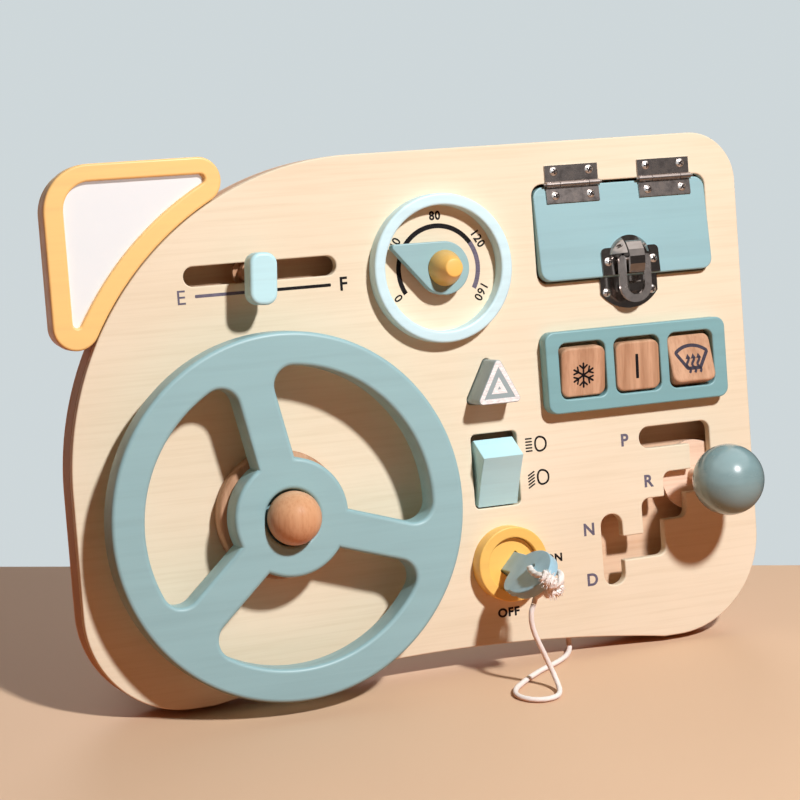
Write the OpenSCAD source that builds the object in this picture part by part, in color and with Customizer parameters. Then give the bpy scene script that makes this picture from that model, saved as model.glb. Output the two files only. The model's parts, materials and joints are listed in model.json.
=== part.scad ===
// Wooden busy board: a toddler's toy dashboard.
// A hollow wooden board leans back on two fins and carries a steering wheel, mirror, fuel slider, speedometer,
// glovebox door with toggle latch, rocking buttons, hazard button, light switch, ignition lock and gear gate.
// Units are millimetres. The origin lies on the table, under the middle of the board. +Z is up, the face looks to -Y.
// Places on the face are measured from the steering wheel's centre: right, up, and out of the front face.

/* [Board] */
// Width of the board
board_w = 350; // [335:1:370]
// Height of the board
board_h = 249; // [242:1:262]
// Wheel centre, from the board's left edge
wheel_in = 95; // [92:0.5:100]
// Wheel centre, from the board's lower edge
wheel_up = 85.5; // [82:0.5:92]
// Thickness of the front panel
front_t = 5; // [4.5:0.1:6]
// Thickness of the edge frame between the panels
core_t = 10; // [9.5:0.1:14]
// Thickness of the back panel
back_t = 3; // [2.5:0.1:5]
// Width of the edge frame
edge_w = 8; // [6:0.5:8.5]
// Angle by which the board leans back
lean = 11; // [8:0.5:14]
// Radius of the large corner under the mirror
arc_r = 145; // [138:1:150]
// Radius of the top right corner
top_r = 25; // [15:1:30]
// Radius of the two lower corners
foot_r = 48; // [40:1:52]
// Rise of the arched lower edge
arch_rise = 9.2; // [6:0.2:12]
// Length of the arched lower edge
arch_len = 236; // [200:1:240]
// Thickness of each stand fin
fin_t = 10; // [8:0.5:16]
// Depth of each stand fin behind the board
fin_depth = 85; // [75:1:110]
// Height of each stand fin
fin_h = 120; // [90:1:150]

/* [Steering wheel] */
// Radius of the wheel
wheel_r = 85; // [78:0.5:90]
// Width of the rim
rim_w = 15.6; // [12:0.2:19]
// Thickness of the wheel
wheel_t = 14.5; // [12:0.5:18]
// Rounding of the rim's outer edges
rim_round = 2.2; // [1:0.1:4]
// Radius of the hub
hub_r = 27.5; // [24:0.5:32]
// Width of each spoke
spoke_w = 18.3; // [14:0.1:22]
// Radius in the windows' corners at the rim
window_r = 9; // [6:0.5:12]
// Direction of the first spoke
spoke_turn = 102.3; // [90:0.1:120]
// Radius of the spacer disc behind the wheel
spacer_r = 30; // [26:0.5:40]
// Thickness of the spacer disc
spacer_t = 9.3; // [7:0.1:14]
// Radius of the dowel that the wheel turns on
axle_r = 5; // [4:0.25:6]
// Radius of the dowel's ball head
ball_head_r = 12.5; // [11:0.25:12.75]
// Radius of the recess in the hub
recess_r = 13; // [12.9:0.1:16]

/* [Mirror] */
// How far the mirror stands out past the board's left edge
mirror_out_x = 2.5; // [0:0.1:6]
// How far the mirror stands out past the board's top edge
mirror_out_y = 3.3; // [0:0.1:6]
// Thickness of the mirror frame
mirror_t = 8; // [6.5:0.5:10]
// Rounding of the mirror's outer corner
mirror_corner_r = 22; // [16:1:28]
// Rounding of the mirror's two ends
mirror_end_r = 10.8; // [9:0.2:12]
// Rim of the mirror beside the board
mirror_rim = 8.8; // [7:0.1:10]
// Thickness of the mirror sheet
sheet_t = 2; // [1.5:0.1:3]

/* [Fuel slider] */
// Middle of the slot: right, up
slot_at = [2, 112.5];
// Length of the slot
slot_len = 74.5; // [60:0.5:80]
// Width of the slot
slot_w = 9.2; // [8:0.1:11]
// Place of the knob along the slot, from its middle
slider_rest = -5.3; // [-26:0.1:26]
// Width of the knob
slider_w = 13.2; // [11:0.1:16]
// Height of the knob
slider_h = 24; // [20:0.5:27]
// Thickness of the knob
slider_t = 10; // [8:0.5:14]
// Lean of the knob to the right
slider_tilt = 4; // [0:1:10]

/* [Speedometer] */
// Centre of the dial: right, up
dial_at = [90.9, 107];
// Outer radius of the ring
ring_r = 35.4; // [33:0.2:37]
// Inner radius of the ring
ring_in_r = 29.8; // [29.2:0.1:31]
// Height of the ring
ring_h = 7.5; // [6:0.1:10]
// Direction of the pointer
pointer_turn = 155; // [0:1:359]
// Reach of the pointer's tip
pointer_len = 28.4; // [22:0.2:28.6]
// Radius of the pointer's round body
pointer_r = 12.7; // [9:0.1:15]
// Thickness of the pointer
pointer_t = 5; // [4:0.1:6]
// Height of the pointer's cone knob
cone_h = 11.5; // [8:0.5:16]

/* [Door and latch] */
// Middle of the door's hinge line: right, up
hinge_at = [190, 142.4];
// Width of the door
door_w = 94; // [88:0.5:98]
// Height of the door
door_h = 46; // [43:0.5:47]
// Rounding of the door's corners
door_r = 5.5; // [3:0.5:8]
// How far the door stands ajar
door_ajar = 5.5; // [4:0.5:10]
// Width of each hinge
hinge_w = 28.5; // [24:0.5:32]
// Thickness of the hinge leaves
leaf_t = 0.8; // [0.6:0.1:1]
// Radius of the hinge knuckles
knuckle_r = 1.5; // [1.4:0.1:2]
// Radius of the hinge pin
hinge_pin_r = 0.75; // [0.6:0.05:0.9]
// Middle of the latch, from the middle of the door
latch_off = 1.4; // [-4:0.1:4]
// Width of the latch plates
latch_w = 31.4; // [30:0.1:36]
// Width of the latch lever
lever_w = 8.2; // [7:0.1:8.4]
// Outer width of the bail
bail_w = 17.2; // [16.5:0.1:17.4]
// Width of the bail's strap
bail_strap = 3.8; // [3:0.1:3.9]

/* [Buttons] */
// Lower left corner of the button frame: right, up
panel_at = [140.7, 31.7];
// Width of the button frame
panel_w = 99.1; // [97:0.1:104]
// Height of the button frame
panel_h = 39.8; // [37:0.1:42]
// Thickness of the button frame
panel_t = 7.25; // [7:0.05:10]
// Width of a button window
win_w = 25.1; // [24.6:0.1:26]
// Height of a button window
win_h = 27.3; // [26.8:0.1:28.5]
// Distance from button to button
win_pitch = 29.9; // [29:0.1:30.5]
// Width of a button
button_w = 23.8; // [22:0.1:24.2]
// Height of a button
button_h = 24.2; // [22:0.1:24.4]
// Thickness of a button
button_t = 8; // [6.5:0.1:8.4]
// Radius of the pin that the buttons rock on
button_pin_r = 1.25; // [1:0.05:1.6]
// Rest angle of each button, lower edge outward
button_tilts = [-7, -3, 16];
// How far each button rocks to either side
button_swing = 16; // [10:1:16]

/* [Hazard button] */
// Left lower point of the triangle: right, up
hazard_at = [101, 40.7];
// Width of the triangle
hazard_w = 21.5; // [19:0.5:24]
// Height of the triangle
hazard_h = 20.8; // [18:0.2:23]
// How far the button stands out
hazard_out = 14; // [11:0.5:18]
// Rounding of the triangle's corners
hazard_r = 2; // [1.5:0.1:3]

/* [Light switch] */
// Middle of the switch hole: right, up
switch_at = [113.3, 7.8];
// Width of the switch hole
switch_hole_w = 24.2; // [23:0.1:26]
// Height of the switch hole
switch_hole_h = 36; // [35.8:0.1:38]
// Width of the rocker
rocker_w = 20.9; // [18:0.1:22]
// Length of the rocker's front face
rocker_len = 26.9; // [24:0.1:27]
// Height of the rocker's front face over its pin
rocker_h = 12; // [10:0.1:12.2]
// Angle to which the rocker tips on either side
rocker_tip = 24.5; // [18:0.5:25]
// Radius of the rocker's pin
rocker_pin_r = 1.5; // [1:0.1:2]

/* [Ignition] */
// Centre of the ignition lock: right, up
lock_at = [115.6, -37.8];
// Outer radius of the ring
lock_r = 18.2; // [17:0.1:20]
// Inner radius of the ring
lock_in_r = 13; // [12:0.1:14]
// Height of the ring
lock_h = 8; // [6:0.5:10]
// How far the barrel stands out of the face
barrel_out = 5; // [3:0.5:7]
// Direction of the key slot
key_turn = 46.5; // [0:0.5:90]
// Width of the key's blade
key_w = 11; // [9:0.1:13]
// Thickness of the key
key_t = 5; // [4:0.1:6]
// How deep the blade goes into the barrel
key_in = 9; // [6:0.5:10]
// Width of the key's bow
bow_w = 24.8; // [20:0.2:28]
// Height of the key's bow
bow_h = 36; // [30:0.5:40]

/* [Gear gate] */
// Resting place of the gear stem: from the board's right edge, up from the wheel's centre
gear_at = [-31.7, -7];
// Width of the gate's tracks
gate_w = 11.4; // [10.5:0.1:12.5]
// Radius of the gear ball
ball_r = 17.5; // [15:0.5:20]
// Height of the ball's centre over the face
ball_up = 30.1; // [26:0.1:36]
// Radius of the gear stem
stem_r = 3; // [2.5:0.1:3.6]
// Radius of the retaining disc behind the gate
gear_disc_r = 17.5; // [14:0.5:18]

/* [Cord] */
// Diameter of the cord
cord_d = 2.6; // [2:0.1:3]
// Distance from the wheel's centre to the cord's hole
cord_right = 150; // [120:1:180]

/* [Hidden] */
$fn = 64;

// Clearances
fit = 0.05;          // round running fit, on the radius
slide_gap = 0.2;     // flat moving faces
glue = 0.02;         // glued round joints, on the radius
keep = 2;            // how far a retaining disc reaches past its slot
side_gap = 0.3;      // around pieces that move in a hole
body_t = front_t + core_t + back_t;

// The board's edges, from the wheel's centre
left = -wheel_in;
right = board_w - wheel_in;
bottom = -wheel_up;
top = board_h - wheel_up;
arc_at = [left + arc_r, top - arc_r];
arch_x = (left + right) / 2 + 1;
arch_r = (arch_len * arch_len / 4 + arch_rise * arch_rise) / (2 * arch_rise);
foot_lift = body_t * sin(lean);
origin_x = (left + right) / 2;
origin_y = 31;

// Mirror
mirror_gap = 0.5;
mirror_in_r = arc_r + mirror_gap;
end_bite = 0.1;
mirror_left = left - mirror_out_x;
mirror_top = top + mirror_out_y;
mirror_side_rim = mirror_rim + 0.5;
mirror_top_rim = mirror_rim - 0.9;
glass_in = 3;
glass_lip = 2.8;
tongue_from = 118;
tongue_to = 150;

// Wheel
wheel_back = spacer_t + slide_gap;
wheel_front = wheel_back + wheel_t;
recess_floor = wheel_front - 11;
ball_head_z = recess_floor + ball_head_r + 0.5;

// Slider
slider_z = 10;
slider_disc_r = slot_w / 2 + keep;
slider_neck_r = slot_w / 2 - side_gap;
slider_stem_r = 3;
slider_up = -3.1;
disc_t = 2;
slider_x = slot_at[0] + slider_rest;

// Dial
pointer_z = 3;
cone_r = 8.6;
cone_tip_r = 4.2;
dial_pin_r = 3;

// Door
door_gap = 0.6;
door_top_gap = 0.5;
hinge_z = knuckle_r;
door_foot_gap = 0.9;
hinge_mids = [-25.9, 24.5];
hinge_cut = 0.3;
leaf_from = 1.7;
leaf_board = 9.4;
leaf_door = 8.9;
screw_r = 2.1;
screw_h = 1;
shank_r = 1;
shank_len = 4;

// Latch, from the door's lower edge and its front face
door_foot = hinge_at[1] - door_top_gap - door_h;
lever_pin = [14.1, 3.8];
bail_pin = [7.6, 4.4];
lever_pin_r = 1;
bail_pin_r = 0.9;
bail_t = 1.6;
bail_lean = 7;
bail_len = 21.4;
plate_foot = 0.6;
plate_h = 13.3;
plate_screw_up = 7.1;
catch_top = -0.4;
catch_h = 17;
catch_screw_up = -7.9;
hook_w = 7;
dome_up = 8.1;
dome_r = 11.5;
dome_h = 7;
dome_ball_r = (dome_r * dome_r + dome_h * dome_h) / (2 * dome_h);
latch_x = hinge_at[0] + latch_off;

// Buttons
pin_up = 19.9;
panel_r = 5;
pin_z = 3.6;
pocket_d = 3.8;
win_up = 6.7;
win_left = (panel_w - 2 * win_pitch - win_w) / 2 - 0.2;
button_x = [for (i = [0:2]) panel_at[0] + win_left + win_w / 2 + i * win_pitch];

// Hazard, switch, lock
hazard_flange = 3;
hazard_travel = 5;
rocker_z = -front_t;
cheek_t = 4;
collar_r = lock_in_r + 3;
collar_t = 2.5;
tail_r = 8;
bow_z = 31.9;
bow_off = -2.7;
key_hole = [-0.6, 31.9];
key_hole_r = 2.2;
key_gap = 0.7;
heel_in = 3.6;
heel_down = 8.5;
heel_r = 8.8;

// Gear gate: heights from the wheel's centre, the rest from the gate's right side
gear_x = right + gear_at[0];
gate_right = gear_x + 8;
gate_top = 20;
gate_p = [39.5, 9.3];
gate_r = [27.5, -14.8];
gate_step = [27, -27];
gate_n = [40.5, -44.5];
gate_d = [63.8, -56.3];
gear_disc_z = -front_t - slide_gap - disc_t;

// Cord route, in the part's frame
cord_route = [
    [29.9, -63.5, 43.4], [28.5, -64.2, 39.8], [28.7, -64.2, 34.8], [30.4, -64, 29], [33.1, -63.8, 23.2], [35.8, -63.8, 17.6],
    [38.2, -64, 12.4], [40, -65, 8], [40.8, -67.6, 4.4], [40.2, -71.4, 2.2], [38, -75.2, 1.5], [34, -78, 1.5],
    [28.6, -78.6, 1.5], [23.4, -76.4, 1.5], [20, -72, 1.5], [19.6, -67, 1.5], [22.4, -61.4, 1.5], [27.4, -56.6, 1.5],
    [33, -52, 1.5], [39, -47.6, 1.5], [45, -43.6, 1.5], [51, -40.2, 1.5], [57, -36.6, 1.5], [62.4, -32.4, 1.5],
    [66.4, -28, 1.6], [68.8, -24.4, 2.4], [69.8, -21.9, 4], [70, -20.6, 6.2], [70, -19.7, 9.2], [70, -19, 12.8],
    [70, -18.3, 16.2]
];
cord_top_route = [[35.4, -65.1, 50], [33.2, -64, 48.2], [31.2, -63, 46.2], [30, -63.4, 43.6]];
knot_at = [38, -66.4, 52.2];
knot_r = 3.6;
end_knot_at = [70, -17.6, 19.7];
end_knot_r = 3.2;

// [all, front_panel, body_frame, back_panel, inner_blocks, stand_fins, mirror_frame, steering_wheel, cord]

wood = [0.93, 0.78, 0.6];
cream = [0.98, 0.9, 0.78];
sage = [0.63, 0.75, 0.75];
teal = [0.65, 0.82, 0.84];
pale_cyan = [0.82, 0.95, 0.97];
yellow = [1, 0.83, 0.5];
gunmetal = [0.38, 0.35, 0.34];
steel = [0.75, 0.74, 0.74];
white = [0.95, 0.94, 0.92];

// ---- Placing ----

// From the face's own axes (right, up, out) to the part's frame
module on_face() {
    translate([-origin_x, -origin_y, foot_lift])
        rotate([90 - lean, 0, 0])
            translate([0, -bottom, 0])
                children();
}

// From the closed door to the door standing ajar
module on_door() {
    translate([0, hinge_at[1], hinge_z])
        rotate([-door_ajar, 0, 0])
            translate([0, -hinge_at[1], -hinge_z])
                children();
}

// A straight plate from height a to height b, from a flat outline
module slab(a, b) {
    translate([0, 0, a])
        linear_extrude(b - a)
            children();
}

// ---- Flat outlines ----

// What a rounded corner takes away: centre c, radius r, sx and sy point to the corner
module corner_cut(c, r, sx, sy) {
    difference() {
        translate(c + [sx > 0 ? 0 : -r - 1, sy > 0 ? 0 : -r - 1])
            square(r + 1);
        translate(c)
            circle(r, $fn = 128);
    }
}

module round_rect(x, y, w, h, r) {
    difference() {
        translate([x, y])
            square([w, h]);
        corner_cut([x + r, y + r], r, -1, -1);
        corner_cut([x + w - r, y + r], r, 1, -1);
        corner_cut([x + r, y + h - r], r, -1, 1);
        corner_cut([x + w - r, y + h - r], r, 1, 1);
    }
}

// The board's outline, or the same drawn in by some width
module board_2d(inset = 0) {
    difference() {
        translate([left + inset, bottom + inset])
            square([board_w - 2 * inset, board_h - 2 * inset]);
        corner_cut(arc_at, arc_r - inset, -1, 1);
        corner_cut([right - top_r, top - top_r], top_r - inset, 1, 1);
        corner_cut([left + foot_r, bottom + foot_r], foot_r - inset, -1, -1);
        corner_cut([right - foot_r, bottom + foot_r], foot_r - inset, 1, -1);
        translate([arch_x, bottom + arch_rise - arch_r])
            circle(arch_r + inset, $fn = 256);
    }
}

// A part of a ring between two directions
module ring_sector(c, r1, r2, a, b) {
    mid = (a + b) / 2;
    reach = 2 * r2;
    intersection() {
        difference() {
            translate(c)
                circle(r2, $fn = 192);
            translate(c)
                circle(r1, $fn = 192);
        }
        translate(c)
            polygon([[0, 0], reach * [cos(a), sin(a)], reach * [cos(mid), sin(mid)], reach * [cos(b), sin(b)]]);
    }
}

// A band that wraps the board's large corner: two straight outer sides, round ends, hollow inner side
module crescent(in_r, x0, y1, corner_r, end_r) {
    reach = in_r + end_r - end_bite;
    e1y = y1 - end_r;
    e1 = [arc_at[0] - sqrt(pow(reach, 2) - pow(e1y - arc_at[1], 2)), e1y];
    e2x = x0 + end_r;
    e2 = [e2x, arc_at[1] + sqrt(pow(reach, 2) - pow(arc_at[0] - e2x, 2))];
    t1 = arc_at + (e1 - arc_at) * (in_r - 1) / norm(e1 - arc_at);
    t2 = arc_at + (e2 - arc_at) * (in_r - 1) / norm(e2 - arc_at);
    x1 = e1[0] + end_r;
    y0 = e2[1] - end_r;
    difference() {
        translate([x0, y0])
            square([x1 - x0, y1 - y0]);
        corner_cut([x0 + corner_r, y1 - corner_r], corner_r, -1, 1);
        corner_cut(e1, end_r, 1, 1);
        corner_cut(e2, end_r, -1, -1);
        difference() {
            polygon([e1, t1, [x1 + 1, t1[1]], [x1 + 1, e1[1]]]);
            translate(e1)
                circle(end_r, $fn = 128);
        }
        difference() {
            polygon([e2, t2, [t2[0], y0 - 1], [e2[0], y0 - 1]]);
            translate(e2)
                circle(end_r, $fn = 128);
        }
        translate(arc_at)
            circle(in_r, $fn = 256);
    }
}

module mirror_outline(grow = 0) {
    crescent(mirror_in_r - grow, mirror_left - grow, mirror_top + grow, mirror_corner_r + grow, mirror_end_r + grow);
}

module mirror_window(grow = 0) {
    crescent(mirror_in_r + mirror_rim - grow, mirror_left + mirror_side_rim - grow, mirror_top - mirror_top_rim + grow,
        mirror_corner_r - mirror_rim + grow, 2.2 + grow);
}

// Wheel seen from the front: rim, hub, three spokes and the fillets where spokes meet the rim
module wheel_2d() {
    rim_in = wheel_r - rim_w;
    cy = spoke_w / 2 + window_r;
    cx = sqrt(pow(rim_in - window_r, 2) - cy * cy);
    t = [cx, cy] * rim_in / norm([cx, cy]);
    root = spoke_w / 2 - 2;
    difference() {
        circle(wheel_r, $fn = 192);
        circle(rim_in, $fn = 192);
    }
    circle(hub_r, $fn = 128);
    for (i = [0:2])
        rotate(spoke_turn + 120 * i) {
            translate([0, -spoke_w / 2])
                square([rim_in + 1, spoke_w]);
            for (s = [0, 1])
                mirror([0, s, 0])
                    difference() {
                        polygon([[cx, root], [rim_in + 1, root], t * 1.02, [cx, cy]]);
                        translate([cx, cy])
                            circle(window_r + 0.06, $fn = 96);
                    }
        }
}

// Triangle with round corners, or the same grown by some width
module hazard_2d(grow = 0) {
    r = hazard_r;
    a = hazard_at + [r, r];
    b = hazard_at + [hazard_w - r, r];
    c = hazard_at + [hazard_w / 2 + 0.4, hazard_h - r];
    points = [a, b, c];
    polygon([for (i = [0:2]) let (p = points[i], q = points[(i + 1) % 3], n = [q[1] - p[1], p[0] - q[0]] / norm(q - p))
        each [p + n * (r + grow), q + n * (r + grow)]]);
    for (p = points)
        translate(p)
            circle(r + grow);
}

// Gear gate: cross tracks at P, R, N and D, joined by columns. Small squares fill the corners inside the joins
module gate_2d() {
    w = gate_w;
    x = gate_right;
    mid_w = 11;
    low_w = 11.8;
    round_rect(x - gate_p[0], gate_p[1], gate_p[0], gate_top - gate_p[1], 5.3);
    round_rect(x - w, gate_r[1], w, gate_top - gate_r[1], 3);
    round_rect(x - gate_r[0], gate_r[1], gate_r[0], w, 4);
    round_rect(x - gate_step[0], gate_step[1], mid_w, gate_r[1] + w - gate_step[1], 4);
    round_rect(x - gate_n[0], gate_step[1], gate_n[0] - gate_step[0] + mid_w + 0.4, w, 4);
    round_rect(x - gate_n[0], gate_n[1], w, gate_step[1] + w - gate_n[1] + 0.1, 4);
    round_rect(x - gate_d[0], gate_n[1], gate_d[0] - gate_n[0] + w + 0.2, low_w, 4);
    round_rect(x - gate_d[0], gate_d[1], low_w, 35.3, low_w / 2 - 0.1);
    translate([x - 8, gate_top - 8])
        square([5, 8]);
    translate([x - 3, gate_top - 12])
        square([3, 9]);
    translate([x - w - 4.6, gate_p[1]])
        square([13, 8]);
    translate([x - w - 2, gate_r[1]])
        square([w, w - 3]);
    translate([x - gate_step[0] + 3, gate_step[1] + 7])
        square([6, 10]);
    translate([x - gate_n[0] + 1.2, gate_step[1] - 7])
        square([6, 12]);
    translate([x - gate_d[0] + 4.5, gate_n[1] + 2.5])
        square([8, 6]);
}

module switch_hole_2d() {
    round_rect(switch_at[0] - switch_hole_w / 2, switch_at[1] - switch_hole_h / 2, switch_hole_w, switch_hole_h, 2.5);
}

module door_hole_2d() {
    y0 = hinge_at[1] - door_top_gap - door_h - door_foot_gap;
    round_rect(hinge_at[0] - door_w / 2 - door_gap, y0, door_w + 2 * door_gap, hinge_at[1] + door_gap - y0, door_r);
}

module slot_2d(x, y, len, w) {
    round_rect(x - len / 2, y - w / 2, len, w, w / 2 - 0.01);
}

// ---- Fasteners ----

// Low pan head with a cross recess, and the shank in the wood
module screw() {
    difference() {
        union() {
            intersection() {
                cylinder(r = screw_r, h = screw_h);
                translate([0, 0, screw_h - 3.4])
                    sphere(3.4);
            }
            translate([0, 0, -shank_len])
                cylinder(r = shank_r, h = shank_len + 0.1, $fn = 24);
        }
        for (a = [0, 90])
            rotate(a)
                translate([-1.2, -0.22, screw_h - 0.6])
                    cube([2.4, 0.44, 1]);
    }
}

module screw_hole() {
    translate([0, 0, -shank_len - 0.2])
        cylinder(r = shank_r + fit, h = shank_len + 4, $fn = 24);
}

// Places of the screws on the board's hinge leaves and on the catch
board_screws = [
    for (m = hinge_mids, s = [-1, 1])
        [hinge_at[0] + m + s * hinge_w / 3, hinge_at[1] + 6.4]
];
catch_screws = [for (s = [-1, 1]) [latch_x + s * (latch_w / 2 - 3.2), door_foot + catch_screw_up]];
door_screws = [
    for (m = hinge_mids, s = [-1, 1])
        [hinge_at[0] + m + s * hinge_w / 3, hinge_at[1] - 5.3]
];
plate_screws = [for (s = [-1, 1]) [latch_x + s * (latch_w / 2 - 3.4), door_foot + plate_screw_up]];

// ---- Board ----

module front_panel() {
    color(cream)
        on_face()
            difference() {
                slab(-front_t, 0)
                    board_2d();
                slab(-front_t - 1, 1) {
                    slot_2d(slot_at[0], slot_at[1], slot_len, slot_w);
                    door_hole_2d();
                    hazard_2d(side_gap);
                    switch_hole_2d();
                    gate_2d();
                }
                translate([0, 0, -front_t - 1]) {
                    cylinder(r = axle_r + glue, h = front_t + 2);
                    translate(dial_at)
                        cylinder(r = dial_pin_r + fit, h = front_t + 2);
                    translate(lock_at)
                        cylinder(r = lock_in_r, h = front_t + 2);
                }
                slab(-pocket_d, 1)
                    windows_2d(0.2);
                rocker_pin(fit);
                for (p = concat(board_screws, catch_screws))
                    translate(p)
                        screw_hole();
            }
}

module body_frame() {
    color(wood)
        on_face()
            difference() {
                slab(-front_t - core_t, -front_t)
                    difference() {
                        board_2d();
                        board_2d(edge_w);
                        ring_sector(arc_at, arc_r - edge_w - 5, arc_r + 5, tongue_from, tongue_to);
                    }
                translate([cord_right, bottom + edge_w + arch_rise + 2, -front_t - core_t / 2])
                    rotate([90, 0, 0])
                        cylinder(r = cord_d / 2 + side_gap, h = edge_w + arch_rise + 4);
            }
}

module back_panel() {
    color(wood)
        on_face()
            slab(-body_t, -front_t - core_t)
                board_2d();
}

// Stop under the door, and the two cheeks that hold the light switch's pin
module inner_blocks() {
    z0 = -front_t - core_t;
    stop_left = hinge_at[0] - door_w / 2 - 6;
    color(wood)
        on_face() {
            slab(z0, -front_t)
                translate([stop_left, door_foot - 9])
                    square([right - edge_w - stop_left, 11]);
            difference() {
                slab(z0, -front_t)
                    for (s = [-1, 1])
                        translate([switch_at[0] + s * (switch_hole_w / 2 + cheek_t / 2) - cheek_t / 2, switch_at[1] - 9])
                            square([cheek_t, 18]);
                rocker_pin(fit);
            }
        }
}

// Two fins behind the feet, cut level with the table
module stand_fins() {
    y0 = body_t * cos(lean) - origin_y;
    rise = fin_h * tan(lean);
    color(wood)
        for (x = [left + foot_r, right - foot_r + 1 - fin_t])
            translate([x - origin_x, 0, 0])
                rotate([90, 0, 90])
                    linear_extrude(fin_t)
                        polygon([
                            [y0, 0], [y0 + fin_depth, 0], [y0 + fin_depth, 8],
                            [y0 + rise + 14, fin_h], [y0 + rise, fin_h]
                        ]);
}

// ---- Mirror ----

module mirror_frame() {
    color(yellow)
        on_face()
            difference() {
                slab(-mirror_t, 0)
                    mirror_outline();
                slab(-mirror_t - 1, 1)
                    mirror_window();
                slab(-mirror_t - 1, -glass_in)
                    mirror_window(glass_lip);
            }
}

module mirror_sheet() {
    color(steel)
        on_face()
            slab(-glass_in - sheet_t, -glass_in)
                mirror_window(glass_lip - 0.1);
}

// Backing plate with a plug behind the mirror, and the tongue that runs between the board's panels
module mirror_back() {
    color(wood)
        on_face() {
            slab(-mirror_t, -glass_in - sheet_t)
                mirror_window(glass_lip - 0.1);
            slab(-front_t - core_t, -mirror_t)
                mirror_outline(-1);
            slab(-front_t - core_t, -mirror_t)
                ring_sector(arc_at, arc_r - 1, mirror_in_r + 6, tongue_from + 5, tongue_to - 5);
            slab(-front_t - core_t, -front_t)
                ring_sector(arc_at, arc_r - edge_w, arc_r, tongue_from, tongue_to);
        }
}

// ---- Steering wheel ----

module wheel_spacer() {
    color(wood)
        on_face()
            difference() {
                cylinder(r = spacer_r, h = spacer_t);
                translate([0, 0, -1])
                    cylinder(r = axle_r + glue, h = spacer_t + 2);
            }
}

module wheel_axle() {
    z0 = -front_t - core_t;
    color(wood)
        on_face() {
            translate([0, 0, z0])
                cylinder(r = axle_r, h = ball_head_z - z0);
            translate([0, 0, ball_head_z])
                sphere(ball_head_r);
        }
}

module steering_wheel() {
    color(sage)
        on_face()
            translate([0, 0, wheel_back])
                difference() {
                    intersection() {
                        linear_extrude(wheel_t)
                            wheel_2d();
                        rotate_extrude($fn = 192)
                            rim_profile();
                    }
                    translate([0, 0, -1])
                        cylinder(r = axle_r + fit, h = wheel_t + 2);
                    translate([0, 0, recess_floor - wheel_back])
                        cylinder(r = recess_r, h = wheel_t);
                }
}

// Half section of a disc with rounded outer edges
module rim_profile() {
    square([wheel_r - rim_round, wheel_t]);
    translate([0, rim_round])
        square([wheel_r, wheel_t - 2 * rim_round]);
    for (y = [rim_round, wheel_t - rim_round])
        translate([wheel_r - rim_round, y])
            circle(rim_round, $fn = 32);
}

// ---- Fuel slider ----

module slider_knob() {
    color(pale_cyan)
        on_face()
            translate([slider_x, slot_at[1], slider_z])
                difference() {
                    translate([0, slider_up, 0])
                        rotate(-slider_tilt)
                            linear_extrude(slider_t)
                                round_rect(-slider_w / 2, -slider_h / 2, slider_w, slider_h, 5.5);
                    translate([0, 0, -1])
                        cylinder(r = slider_stem_r, h = 6);
                }
}

// Stem with its neck in the slot and its disc behind the panel
module slider_stem() {
    color(wood)
        on_face()
            translate([slider_x, slot_at[1], 0]) {
                translate([0, 0, -front_t - slide_gap - disc_t])
                    cylinder(r = slider_disc_r, h = disc_t);
                translate([0, 0, -front_t - slide_gap - 0.1])
                    cylinder(r = slider_neck_r, h = front_t + slide_gap + 0.6);
                translate([0, 0, 0])
                    cylinder(r = slider_stem_r, h = slider_z + 5);
            }
}

// ---- Speedometer ----

module dial_ring() {
    color(pale_cyan)
        on_face()
            translate(dial_at)
                difference() {
                    cylinder(r = ring_r, h = ring_h, $fn = 128);
                    translate([0, 0, -1])
                        cylinder(r = ring_in_r, h = ring_h + 2, $fn = 128);
                }
}

// Drop shape: round body, straight flanks, small round tip
module pointer_2d() {
    tip_r = 1.5;
    hull() {
        circle(pointer_r, $fn = 64);
        translate([pointer_len - tip_r, 0])
            circle(tip_r, $fn = 24);
    }
}

module dial_pointer() {
    color(sage)
        on_face()
            translate([dial_at[0], dial_at[1], pointer_z])
                rotate(pointer_turn)
                    difference() {
                        linear_extrude(pointer_t)
                            pointer_2d();
                        translate([0, 0, -1])
                            cylinder(r = dial_pin_r + glue, h = pointer_t + 2);
                    }
}

// Cone knob with its pin through pointer and panel, a washer under the pointer and a disc behind the panel
module dial_knob() {
    z0 = -front_t - slide_gap - disc_t;
    color(yellow)
        on_face()
            translate(dial_at) {
                translate([0, 0, pointer_z + pointer_t])
                    cylinder(r1 = cone_r, r2 = cone_tip_r, h = cone_h);
                translate([0, 0, z0])
                    cylinder(r = dial_pin_r, h = pointer_z + pointer_t + 0.5 - z0);
                translate([0, 0, slide_gap])
                    cylinder(r = 6, h = pointer_z - slide_gap);
                translate([0, 0, z0])
                    cylinder(r = 8, h = disc_t);
            }
}

// ---- Door ----

module door_flap() {
    color(teal)
        on_face()
            on_door()
                difference() {
                    slab(-front_t, 0)
                        round_rect(hinge_at[0] - door_w / 2, hinge_at[1] - door_top_gap - door_h, door_w, door_h, door_r);
                    for (p = concat(door_screws, plate_screws))
                        translate(p)
                            screw_hole();
                }
}

// Ends of the knuckles, from the hinge's left end
knuckles = [0, hinge_w * 0.25, hinge_w * 0.8, hinge_w];

module knuckle(i, bore) {
    x0 = knuckles[i] + (i > 0 ? hinge_cut / 2 : 0);
    x1 = knuckles[i + 1] - (i < 2 ? hinge_cut / 2 : 0);
    translate([x0, 0, 0])
        rotate([0, 90, 0])
            difference() {
                cylinder(r = knuckle_r, h = x1 - x0, $fn = 32);
                translate([0, 0, -1])
                    cylinder(r = bore, h = x1 - x0 + 2, $fn = 32);
            }
}

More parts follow.
